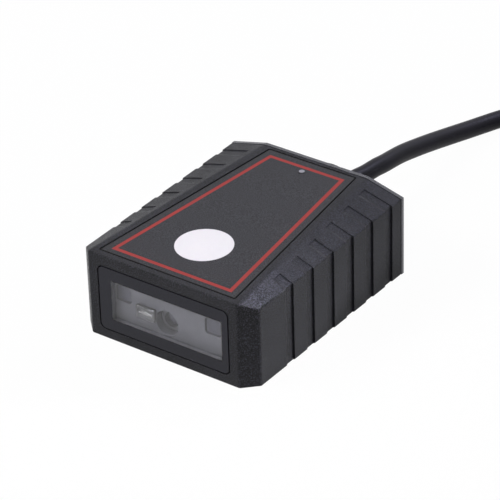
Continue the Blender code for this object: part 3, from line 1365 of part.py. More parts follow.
def build_plug(looks):
    """USB plug lying on the coil, its shell pointing towards -Y."""
    width, length, height = PLUG_GRIP_SIZE
    centre_z = PLUG_AXIS_Z
    grip_start = PLUG_TAIL_Y - PLUG_RELIEF_LENGTH
    grip_end = grip_start - length
    relief = PLUG_RELIEF_TAIL_R
    root = height / 2 - PLUG_GRIP_CORNER_R / 2
    shoulder = PLUG_GRIP_CORNER_R
    waist = PLUG_GRIP_WAIST
    edge = PLUG_GRIP_EDGE
    wide, tall = width / 2, height / 2
    fore, middle, aft = (grip_start - length * share for share in PLUG_WAIST_SHARES)
    stations = (
        (PLUG_TAIL_Y, relief, relief, relief - edge / 8),
        (grip_start + shoulder, root, root - edge / 2, root - edge),
        (grip_start, wide - shoulder, tall - waist, shoulder),
        (grip_start - shoulder, wide, tall, shoulder),
        (fore, wide, tall, shoulder),
        (middle, wide - waist, tall, shoulder),
        (aft, wide, tall, shoulder),
        (grip_end + edge, wide, tall, shoulder),
        (grip_end, wide - edge, tall - edge, shoulder),
    )
    rings = []
    for y, half_x, half_z, radius in stations:
        outline = rounded_box((-half_x, -half_z), (half_x, half_z), radius)
        rings.append([Vector((PLUG_X + u, y, centre_z + v)) for u, v in outline])
    bm = bmesh.new()
    add_loft(bm, rings)
    add_object("plug_grip", bm, looks["rubber"], smooth_angle=PLUG_SMOOTH)

    shell_w, shell_l, shell_h = PLUG_SHELL_SIZE
    shell_start = grip_end - SEAT_GAP
    mid_y = shell_start - shell_l / 2
    bm = bmesh.new()
    place = Matrix.Translation((PLUG_X, mid_y, centre_z))
    bmesh.ops.create_cube(bm, size=1.0, matrix=place @ Matrix.Diagonal((*PLUG_SHELL_SIZE, 1.0)))
    shell = add_object("plug_shell", bm, looks["steel"])
    bm = bmesh.new()
    back = PLUG_SHELL_BACK
    inner = (shell_w - 2 * PLUG_SHELL_WALL, shell_l, shell_h - 2 * PLUG_SHELL_WALL)
    shift = Matrix.Translation((0.0, -back, 0.0))
    bmesh.ops.create_cube(bm, size=1.0, matrix=place @ shift @ Matrix.Diagonal((*inner, 1.0)))
    cut(shell, "cut_shell", bm)
    bm = bmesh.new()
    latch_x, latch_y = PLUG_LATCH_OFFSET
    for side in (-1, 1):
        size = (PLUG_LATCH_HOLE, PLUG_LATCH_HOLE, shell_h / 2)
        hole = Matrix.Translation((side * latch_x, latch_y, shell_h / 2))
        bmesh.ops.create_cube(bm, size=1.0, matrix=place @ hole @ Matrix.Diagonal((*size, 1.0)))
    cut(shell, "cut_latches", bm)

    tongue_l = shell_l - back - 2 * SEAT_GAP
    tongue_w = inner[0] - 2 * SEAT_GAP
    low = centre_z - shell_h / 2 + PLUG_SHELL_WALL + SEAT_GAP
    tongue_y = shell_start - back - SEAT_GAP - tongue_l / 2
    bm = bmesh.new()
    centre = Matrix.Translation((PLUG_X, tongue_y, low + PLUG_TONGUE_THICKNESS / 2))
    size = (tongue_w, tongue_l, PLUG_TONGUE_THICKNESS)
    bmesh.ops.create_cube(bm, size=1.0, matrix=centre @ Matrix.Diagonal((*size, 1.0)))
    tongue = add_object("plug_tongue", bm, looks["socket"])
    bm = bmesh.new()
    pitch = tongue_w / (PLUG_CONTACT_COUNT + 1)
    across, ahead, up = PLUG_CONTACT_SHARES
    strip = (pitch * across, tongue_l * ahead, PLUG_TONGUE_THICKNESS * up)
    for k in range(PLUG_CONTACT_COUNT):
        x = pitch * (k + 1) - tongue_w / 2
        shift = Matrix.Translation((x, -PLUG_SHELL_BACK, PLUG_TONGUE_THICKNESS / 2))
        bmesh.ops.create_cube(bm, size=1.0, matrix=centre @ shift @ Matrix.Diagonal((*strip, 1.0)))
    cut(tongue, "join_contacts", bm, "UNION")


def crossing_route():
    """Last turn of the cable: outwards over the top of the coil, then round into the plug."""
    start_z = COIL_REST_Z + CABLE_R
    route = []
    for k in range(CROSSING_STEPS + 1):
        left = (CROSSING_TURNS - CROSSING_HIDDEN_TURNS) * (1 - k / CROSSING_STEPS)
        out = (COIL_OUTER_TURN_R - COIL_INNER_TURN_R) * ease(1 - left / CROSSING_TURNS)
        angle = math.pi / 2 + 2 * math.pi * left
        radius = COIL_INNER_TURN_R + out
        x = COIL_CENTRE_X + radius * math.cos(angle)
        route.append((x, COIL_CENTRE_Y + radius * math.sin(angle), start_z))
    for k in range(1, PLUG_BEND_STEPS + 1):
        share = k / PLUG_BEND_STEPS
        angle = math.pi / 2 * (1 - share)
        x = COIL_CENTRE_X + PLUG_BEND_R * math.cos(angle)
        z = start_z + (PLUG_AXIS_Z - start_z) * ease(share)
        route.append((x, PLUG_BEND_Y + PLUG_BEND_R * math.sin(angle), z))
    return route


def build_cable(looks):
    build_gland(looks)
    build_inner_lead(looks)
    run = [(x, CABLE_START_Y + behind, z) for x, behind, z in CABLE_RUN]
    exit_point = Vector((0.0, CABLE_START_Y, CABLE_EXIT_Z))
    add_tube("cable", [exit_point, *smooth_route(run, ROUTE_SPACING)], CABLE_R, looks["jacket"])
    build_coil(looks)
    route = smooth_route(crossing_route(), ROUTE_SPACING / 2)
    add_tube("cable_end", route, CABLE_R, looks["jacket"])
    build_plug(looks)


def clear_scene():
    for obj in list(bpy.data.objects):
        bpy.data.objects.remove(obj, do_unlink=True)


def main():
    clear_scene()
    looks = make_looks()
    build_housing(looks)
    build_rear_cover(looks)
    build_rear_seal(looks)
    build_cover_screws(looks)
    build_window(looks)
    build_label(looks)
    build_indicator(looks)
    build_engine_bracket(looks)
    build_aimer(looks)
    build_lamps(looks)
    build_light_board(looks)
    build_camera(looks)
    build_main_board(looks)
    build_flex(looks)
    build_inserts(looks)
    build_cable(looks)


main()
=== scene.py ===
"""Looks for a compact fixed barcode reader with its lead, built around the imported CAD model."""
import logging
import math
from collections.abc import Iterable
from dataclasses import dataclass, field
from enum import Enum

import bpy
from mathutils import Matrix, Quaternion, Vector


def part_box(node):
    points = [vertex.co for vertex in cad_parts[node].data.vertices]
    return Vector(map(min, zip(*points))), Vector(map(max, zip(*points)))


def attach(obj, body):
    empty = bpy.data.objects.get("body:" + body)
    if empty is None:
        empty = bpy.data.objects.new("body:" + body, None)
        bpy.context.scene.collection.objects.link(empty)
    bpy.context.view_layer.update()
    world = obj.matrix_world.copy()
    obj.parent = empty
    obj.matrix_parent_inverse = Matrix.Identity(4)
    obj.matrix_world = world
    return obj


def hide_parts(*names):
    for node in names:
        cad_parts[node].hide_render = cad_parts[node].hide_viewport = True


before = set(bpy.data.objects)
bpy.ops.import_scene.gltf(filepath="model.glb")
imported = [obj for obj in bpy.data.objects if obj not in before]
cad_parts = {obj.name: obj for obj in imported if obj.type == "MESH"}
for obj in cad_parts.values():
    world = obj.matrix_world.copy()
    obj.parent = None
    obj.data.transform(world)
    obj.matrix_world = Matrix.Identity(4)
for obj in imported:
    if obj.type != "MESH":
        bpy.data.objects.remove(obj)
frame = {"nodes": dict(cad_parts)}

Triple = tuple[float, float, float]
Pair = tuple[float, float]
# What can feed a node's input: an output socket, or a node that stands for its first output.
Feed = bpy.types.NodeSocket | bpy.types.Node

LOG = logging.getLogger("barcode_reader")
MM = 0.001
ORIGIN: Triple = (0.0, 0.0, 0.0)
UP: Triple = (0.0, 0.0, 1.0)
DOWN: Triple = (0.0, 0.0, -1.0)
FORWARD: Triple = (0.0, -1.0, 0.0)
BACKWARD: Triple = (0.0, 1.0, 0.0)
# A face looks along a direction when the cosine between them is above this.
FACING = 0.95
# Half the housing's length: the window face lies this far in front of the origin.
BODY_HALF_LENGTH = 0.027
# The coiled lead's lanes lie its diameter and a hair of air apart.
LANE = 0.00405
# A cloudy pattern's values between which a surface goes from its dark colour to its light one.
SOFT_RANGE: Pair = (0.3, 0.7)
# Socket indexes: the limits of Map Range's value and result, and what Mix joins and gives.
RANGE_FROM, RANGE_TO, RANGE_LOW, RANGE_HIGH = 1, 2, 3, 4
NUMBER_A, NUMBER_B = 2, 3
COLOUR_A, COLOUR_B, COLOUR_OUT = 6, 7, 2


# Shared helpers


def linear(hex_colour: str) -> tuple[float, float, float, float]:
    """Turns an sRGB hex colour into linear RGBA.

    Args:
        hex_colour: A colour such as "#3A3B3F".

    Returns:
        Linear red, green, blue and an alpha of 1.
    """
    digits = hex_colour.lstrip("#")
    parts = [int(digits[i:i + 2], 16) / 255.0 for i in (0, 2, 4)]
    red, green, blue = (c / 12.92 if c <= 0.04045 else ((c + 0.055) / 1.055) ** 2.4 for c in parts)
    return red, green, blue, 1.0


def per_mm(size_mm: float) -> float:
    """Gives the texture scale at which one feature is size_mm across on Object coordinates."""
    return 1.0 / (size_mm * MM)


def ease(share: float) -> float:
    """Returns a share that starts and ends slowly."""
    return share * share * (3.0 - 2.0 * share)


def add_node(tree: bpy.types.NodeTree, kind: str, sockets: dict[str | int, object] | None = None,
             stops: Iterable[tuple[float, str]] | None = None, **settings: str | int) -> bpy.types.Node:
    """Adds a shader node with its settings, its constants and its links.

    Args:
        tree: The node tree that takes the node.
        kind: The node's type name, without the "ShaderNode" that they all start with.
        sockets: For each input, by name or index, a constant or what feeds it.
        stops: The colours of a colour ramp, as pairs of position and sRGB hex colour.
        **settings: Properties of the node itself, such as operation="MULTIPLY".

    Returns:
        The new node.
    """
    node = tree.nodes.new("ShaderNode" + kind)
    for name, value in settings.items():
        setattr(node, name, value)
    if stops is not None:
        for element, (position, colour) in zip(node.color_ramp.elements, stops):
            element.position = position
            element.color = linear(colour)
    for name, value in (sockets or {}).items():
        feed = value.outputs[0] if isinstance(value, bpy.types.Node) else value
        if isinstance(feed, bpy.types.NodeSocket):
            tree.links.new(feed, node.inputs[name])
        else:
            node.inputs[name].default_value = feed
    return node


def new_material(name: str) -> tuple[bpy.types.Material, bpy.types.NodeTree, bpy.types.NodeSocket]:
    """Starts an empty node material.

    Args:
        name: The material's name.

    Returns:
        The material, its tree, and the Object coordinates that its patterns read.
    """
    material = bpy.data.materials.new(name)
    material.use_nodes = True
    tree = material.node_tree
    tree.nodes.clear()
    return material, tree, add_node(tree, "TexCoord").outputs["Object"]


def share_seen(tree: bpy.types.NodeTree) -> bpy.types.Node:
    """Tells the rays that see a plain white studio, directly or in gloss or glass, from those that light.

    Args:
        tree: The node tree of the floor or the world.

    Returns:
        A node that gives 1 for a ray that sees, and 0 for one that lights.
    """
    rays = add_node(tree, "LightPath").outputs
    mirrored = add_node(tree, "Math", {0: rays["Is Glossy Ray"], 1: rays["Is Transmission Ray"]},
                        operation="MAXIMUM")
    return add_node(tree, "Math", {0: rays["Is Camera Ray"], 1: mirrored}, operation="MAXIMUM")


# Finishes


@dataclass(frozen=True)
class Finish:
    """A surface finish, made into a material once and then shared."""

    name: str

    def material(self) -> bpy.types.Material:
        """Returns the finish's material, and makes it on first use."""
        found = bpy.data.materials.get(self.name)
        return found if found else self.build()

    def build(self) -> bpy.types.Material:
        """Makes the material, and returns it."""
        raise NotImplementedError

    def cover(self, *pieces: bpy.types.Object) -> None:
        """Puts the finish on whole pieces.

        Args:
            *pieces: Mesh or curve objects.
        """
        for piece in pieces:
            piece.data.materials.clear()
            piece.data.materials.append(self.material())


@dataclass(frozen=True)
class MouldedPlastic(Finish):
    """Moulded ABS from a spark-eroded tool: a fine grain that breaks the gloss into glossy, raised specks,
    whose lighter colour is a painted highlight.

    A rim is a strip between two places along the length, whose surface leans back as a rolled edge does.
    """

    dark: str = "#171719"
    light: str = "#2E2E31"
    tone_range: Pair = (0.38, 0.62)
    # The real texture is finer than 0.1 mm. It is drawn coarser, because it wouldn't show in the render.
    grain_mm: float = 0.25
    # The shade also drifts slowly, over this many grains and by this share.
    drift_grains: float = 40.0
    drift_share: float = 0.25
    # Specks are the flat tops of the grain, where its noise is above about 0.6. The ramp is so steep that
    # a speck has a sharp edge: it starts from the first value at 0 and would reach the second at 1.
    speck_ramp: Pair = (-10.0, 6.7)
    # The specks' light bluish colour and the share after it are a painted glint; the specks' lower roughness
    # and height are real.
    painted_glint_colour: str = "#8A8AA2"
    painted_glint_share: float = 0.09
    speck_roughness: float = 0.20
    speck_height: float = 0.5
    relief_mm: float = 0.06
    roughness: float = 0.5
    roughness_change: float = 0.14
    specular: float = 0.12
    edge_mm: float = 0.03
    rim: Pair | None = None
    rim_lean: float = 0.45

    def edge_normal(self, tree: bpy.types.NodeTree, place: Feed) -> Feed:
        """Rounds the edges a little, and leans the rim back.

        Args:
            tree: The node tree.
            place: The place on the object.

        Returns:
            The normal.
        """
        edge = add_node(tree, "Bevel", {"Radius": self.edge_mm * MM}, samples=4)
        if self.rim is None:
            return edge
        along = add_node(tree, "SeparateXYZ", {0: place}).outputs[1]
        behind = add_node(tree, "Math", {0: along, 1: self.rim[0]}, operation="GREATER_THAN")
        before = add_node(tree, "Math", {0: along, 1: self.rim[1]}, operation="LESS_THAN")
        inside = add_node(tree, "Math", {0: behind, 1: before}, operation="MULTIPLY")
        lean = add_node(tree, "Math", {0: inside, 1: self.rim_lean}, operation="MULTIPLY")
        lean = add_node(tree, "CombineXYZ", {1: lean})
        both = add_node(tree, "VectorMath", {0: edge, 1: lean}, operation="ADD")
        return add_node(tree, "VectorMath", {0: both}, operation="NORMALIZE")

    def specks(self, tree: bpy.types.NodeTree, place: Feed) -> Feed:
        """Marks the specks.

        Args:
            tree: The node tree.
            place: The place on the object.

        Returns:
            1 on a speck and 0 elsewhere.
        """
        tops = add_node(tree, "TexNoise", {"Vector": place, "Scale": per_mm(self.grain_mm), "Detail": 0.0})
        low, high = self.speck_ramp
        steep = add_node(tree, "MapRange", {0: tops, RANGE_LOW: low, RANGE_HIGH: high})
        return add_node(tree, "Clamp", {0: steep})

    def build(self) -> bpy.types.Material:
        """Makes the material.

        Returns:
            The material.
        """
        material, tree, place = new_material(self.name)
        grain = add_node(tree, "TexNoise", {"Vector": place, "Scale": per_mm(self.grain_mm),
                                            "Detail": 1.5, "Roughness": 0.6})
        drift_mm = self.grain_mm * self.drift_grains
        drift = add_node(tree, "TexNoise", {"Vector": place, "Scale": per_mm(drift_mm)})
        fine = add_node(tree, "Math", {0: grain, 1: 1.0 - self.drift_share}, operation="MULTIPLY")
        mixed = add_node(tree, "Math", {0: drift, 1: self.drift_share, 2: fine}, operation="MULTIPLY_ADD")
        ground = add_node(tree, "ValToRGB", {0: mixed}, stops=zip(self.tone_range, (self.dark, self.light)))
        specks = self.specks(tree, place)
        # Painted glint: the specks take a share of a light bluish colour.
        share = add_node(tree, "Math", {0: specks, 1: self.painted_glint_share}, operation="MULTIPLY")
        colour = add_node(tree, "Mix", {0: share, COLOUR_A: ground, COLOUR_B: linear(self.painted_glint_colour)},
                          data_type="RGBA").outputs[COLOUR_OUT]
        dull = add_node(tree, "MapRange", {0: grain, RANGE_LOW: self.roughness + self.roughness_change,
                                           RANGE_HIGH: self.roughness - self.roughness_change})
        gloss = add_node(tree, "Mix", {0: specks, NUMBER_A: dull, NUMBER_B: self.speck_roughness})
        height = add_node(tree, "Mix", {0: specks, NUMBER_A: grain, NUMBER_B: self.speck_height})
        bump = add_node(tree, "Bump", {"Strength": 1.0, "Distance": self.relief_mm * MM, "Height": height,
                                       "Normal": self.edge_normal(tree, place)})
        shader = add_node(tree, "BsdfPrincipled", {"Base Color": colour, "Roughness": gloss, "IOR": 1.5,
                                                   "Specular IOR Level": self.specular, "Normal": bump})
        add_node(tree, "OutputMaterial", {"Surface": shader})
        return material


@dataclass(frozen=True)
class SmoothPlastic(Finish):
    """Smooth injection-moulded plastic: an even colour with faint flow marks in its gloss."""

    dark: str = "#141416"
    light: str = "#1B1B1E"
    roughness: float = 0.35
    roughness_change: float = 0.06
    flow_mm: float = 2.5
    relief_mm: float = 0.01
    edge_mm: float = 0.08
    specular: float = 0.5

    def surface(self, tree: bpy.types.NodeTree, place: Feed) -> Feed:
        """Makes the plastic's surface.

        Args:
            tree: The node tree.
            place: The place on the object.

        Returns:
            The shader.
        """
        flow = add_node(tree, "TexNoise", {"Vector": place, "Scale": per_mm(self.flow_mm), "Detail": 3.0})
        colour = add_node(tree, "ValToRGB", {0: flow}, stops=zip(SOFT_RANGE, (self.dark, self.light)))
        gloss = add_node(tree, "MapRange", {0: flow, RANGE_LOW: self.roughness - self.roughness_change,
                                            RANGE_HIGH: self.roughness + self.roughness_change})
        edge = add_node(tree, "Bevel", {"Radius": self.edge_mm * MM}, samples=4)
        bump = add_node(tree, "Bump", {"Strength": 0.4, "Distance": self.relief_mm * MM, "Height": flow,
                                       "Normal": edge})
        return add_node(tree, "BsdfPrincipled", {"Base Color": colour, "Roughness": gloss, "IOR": 1.5,
                                                 "Specular IOR Level": self.specular, "Normal": bump})

    def build(self) -> bpy.types.Material:
        """Makes the material.

        Returns:
            The material.
        """
        material, tree, place = new_material(self.name)
        add_node(tree, "OutputMaterial", {"Surface": self.surface(tree, place)})
        return material


@dataclass(frozen=True)
class ContactTongue(SmoothPlastic):
    """The plug's nylon tongue, whose raised strips are gold-plated contacts."""

    contact_z: float = 0.0169
    gold_dark: str = "#C9A24E"
    gold_light: str = "#D6B364"
    gold_roughness: float = 0.25
    plating_mm: float = 0.2

    def surface(self, tree: bpy.types.NodeTree, place: Feed) -> Feed:
        """Makes the nylon with its plated strips.

        Args:
            tree: The node tree.
            place: The place on the object.

        Returns:
            The shader.
        """
        height = add_node(tree, "SeparateXYZ", {0: place}).outputs[2]
        raised = add_node(tree, "Math", {0: height, 1: self.contact_z}, operation="GREATER_THAN")
        shade = add_node(tree, "TexNoise", {"Vector": place, "Scale": per_mm(self.plating_mm)})
        colour = add_node(tree, "ValToRGB", {0: shade},
                          stops=zip(SOFT_RANGE, (self.gold_dark, self.gold_light)))
        plating = add_node(tree, "BsdfPrincipled",
                           {"Base Color": colour, "Metallic": 1.0, "Roughness": self.gold_roughness})
        return add_node(tree, "MixShader", {0: raised, 1: super().surface(tree, place), 2: plating})


@dataclass(frozen=True)
class ClearPlastic(Finish):
    """Polished clear acrylic or glass, whose coating takes away a part of its reflection.

    Milk is the share of a pigment that scatters in it, from 0, water clear, to 1, opaque.
    """

    tint: str = "#FFFFFF"
    ior: float = 1.49
    roughness: float = 0.0
    haze: float = 0.012
    haze_mm: float = 6.0
    reflection: float = 1.0
    milk: float = 0.0
    milk_change: float = 0.05
    milk_colour: str = "#808086"

    def surface(self, tree: bpy.types.NodeTree, place: Feed) -> Feed:
        """Joins refraction, milk and a weakened mirror.

        Args:
            tree: The node tree.
            place: The place on the object.

        Returns:
            The shader.
        """
        haze = add_node(tree, "TexNoise", {"Vector": place, "Scale": per_mm(self.haze_mm)})
        gloss = add_node(tree, "MapRange", {0: haze, RANGE_LOW: self.roughness,
                                            RANGE_HIGH: self.roughness + self.haze})
        inside = add_node(tree, "BsdfRefraction",
                          {"Color": linear(self.tint), "Roughness": gloss, "IOR": self.ior})
        if self.milk > 0.0:
            cloud = add_node(tree, "BsdfDiffuse", {"Color": linear(self.milk_colour)})
            share = add_node(tree, "MapRange", {0: haze, RANGE_LOW: self.milk - self.milk_change,
                                                RANGE_HIGH: self.milk + self.milk_change})
            inside = add_node(tree, "MixShader", {0: share, 1: inside, 2: cloud})
        mirror = add_node(tree, "BsdfAnisotropic", {"Color": (1.0, 1.0, 1.0, 1.0), "Roughness": gloss})
        share = add_node(tree, "Math", {0: add_node(tree, "Fresnel", {"IOR": self.ior}), 1: self.reflection},
                         operation="MULTIPLY")
        return add_node(tree, "MixShader", {0: share, 1: inside, 2: mirror})

    def build(self) -> bpy.types.Material:
        """Makes the material.

        Returns:
            The material.
        """
        material, tree, place = new_material(self.name)
        add_node(tree, "OutputMaterial", {"Surface": self.surface(tree, place)})
        return material


@dataclass(frozen=True)
class PrintedWindow(ClearPlastic):
    """Clear acrylic panel with black edges and a black screen print on its front round the clear area."""

    ink_dark: str = "#242429"
    ink_light: str = "#292930"
    ink_roughness: Pair = (0.30, 0.36)
    ink_specular: float = 0.15
    screen_mm: float = 0.35
    # The clear area's limits across and up. The print lies in front of front_y.
    clear_x: Pair = (-0.01287, 0.01450)
    clear_z: Pair = (0.00508, 0.01420)
    front_y: float = -0.0269
    # An edge face's normal has less than this along the depth.
    edge_facing: float = 0.5

    def outside(self, tree: bpy.types.NodeTree, value: Feed, limits: Pair) -> Feed:
        """Finds where a value lies outside two limits.

        Args:
            tree: The node tree.
            value: The value.
            limits: The lower and the upper limit.

        Returns:
            1 outside the limits, and 0 between them.
        """
        below = add_node(tree, "Math", {0: value, 1: limits[0]}, operation="LESS_THAN")
        above = add_node(tree, "Math", {0: value, 1: limits[1]}, operation="GREATER_THAN")
        return add_node(tree, "Math", {0: below, 1: above}, operation="MAXIMUM")

    def print_mask(self, tree: bpy.types.NodeTree, place: Feed) -> Feed:
        """Finds where the panel is black: its front round the clear area, and its edges.

        Args:
            tree: The node tree.
            place: The place on the object.

        Returns:
            1 where it is black, and 0 elsewhere.
        """
        x, y, z = add_node(tree, "SeparateXYZ", {0: place}).outputs
        border = add_node(tree, "Math", {0: self.outside(tree, x, self.clear_x),
                                         1: self.outside(tree, z, self.clear_z)}, operation="MAXIMUM")
        front = add_node(tree, "Math", {0: y, 1: self.front_y}, operation="LESS_THAN")
        printed = add_node(tree, "Math", {0: border, 1: front}, operation="MULTIPLY")
        normal = add_node(tree, "NewGeometry").outputs["True Normal"]
        depth = add_node(tree, "SeparateXYZ", {0: normal}).outputs[1]
        facing = add_node(tree, "Math", {0: depth}, operation="ABSOLUTE")
        edge = add_node(tree, "Math", {0: facing, 1: self.edge_facing}, operation="LESS_THAN")
        return add_node(tree, "Math", {0: printed, 1: edge}, operation="MAXIMUM")

    def surface(self, tree: bpy.types.NodeTree, place: Feed) -> Feed:
        """Makes the panel with its print.

        Args:
            tree: The node tree.
            place: The place on the object.

        Returns:
            The shader.
        """
        screen = add_node(tree, "TexNoise", {"Vector": place, "Scale": per_mm(self.screen_mm)})
        colour = add_node(tree, "ValToRGB", {0: screen},
                          stops=zip(SOFT_RANGE, (self.ink_dark, self.ink_light)))
        gloss = add_node(tree, "MapRange", {0: screen, RANGE_LOW: self.ink_roughness[0],
                                            RANGE_HIGH: self.ink_roughness[1]})
        ink = add_node(tree, "BsdfPrincipled", {"Base Color": colour, "Roughness": gloss, "IOR": self.ior,
                                                "Specular IOR Level": self.ink_specular})
        return add_node(tree, "MixShader", {0: self.print_mask(tree, place), 1: super().surface(tree, place),
                                            2: ink})


@dataclass(frozen=True)
class Metal(Finish):
    """Bare or plated metal with fine machining marks."""

    dark: str = "#A7A8AC"
    light: str = "#C6C7CB"
    roughness: float = 0.3
    roughness_change: float = 0.07
    mark_mm: float = 0.12
    relief_mm: float = 0.006

    def build(self) -> bpy.types.Material:
        """Makes the material.

        Returns:
            The material.
        """
        material, tree, place = new_material(self.name)
        marks = add_node(tree, "TexNoise", {"Vector": place, "Scale": per_mm(self.mark_mm), "Detail": 3.0})
        colour = add_node(tree, "ValToRGB", {0: marks}, stops=zip(SOFT_RANGE, (self.dark, self.light)))
        gloss = add_node(tree, "MapRange", {0: marks, RANGE_LOW: self.roughness - self.roughness_change,
                                            RANGE_HIGH: self.roughness + self.roughness_change})
        bump = add_node(tree, "Bump", {"Strength": 0.3, "Distance": self.relief_mm * MM, "Height": marks})
        shader = add_node(tree, "BsdfPrincipled", {"Base Color": colour, "Roughness": gloss, "Metallic": 1.0,
                                                   "Normal": bump})
        add_node(tree, "OutputMaterial", {"Surface": shader})
        return material


@dataclass(frozen=True)
class SoftRubber(Finish):
    """Moulded elastomer or extruded PVC: near black, with a satin sheen and faint ripple."""

    dark: str = "#17171A"
    light: str = "#1F1F23"
    dust_range: Pair = (0.35, 0.7)
    roughness: float = 0.45
    # Dust makes the gloss this much stronger at its thinnest and weaker at its thickest.
    roughness_change: Pair = (0.05, 0.08)
    ripple_mm: float = 0.6
    # Dust lies in clouds this many ripples wide.
    dust_ripples: float = 12.0
    relief_mm: float = 0.012
    specular: float = 0.25

    def build(self) -> bpy.types.Material:
        """Makes the material.

        Returns:
            The material.
        """
        material, tree, place = new_material(self.name)
        ripple = add_node(tree, "TexNoise", {"Vector": place, "Scale": per_mm(self.ripple_mm)})
        cloud_mm = self.ripple_mm * self.dust_ripples
        dust = add_node(tree, "TexNoise", {"Vector": place, "Scale": per_mm(cloud_mm), "Detail": 3.0})
        colour = add_node(tree, "ValToRGB", {0: dust}, stops=zip(self.dust_range, (self.dark, self.light)))
        gloss = add_node(tree, "MapRange", {0: dust, RANGE_LOW: self.roughness - self.roughness_change[0],
                                            RANGE_HIGH: self.roughness + self.roughness_change[1]})
        bump = add_node(tree, "Bump", {"Strength": 0.6, "Distance": self.relief_mm * MM, "Height": ripple})
        shader = add_node(tree, "BsdfPrincipled", {"Base Color": colour, "Roughness": gloss, "IOR": 1.5,
                                                   "Specular IOR Level": self.specular, "Normal": bump})
        add_node(tree, "OutputMaterial", {"Surface": shader})
        return material


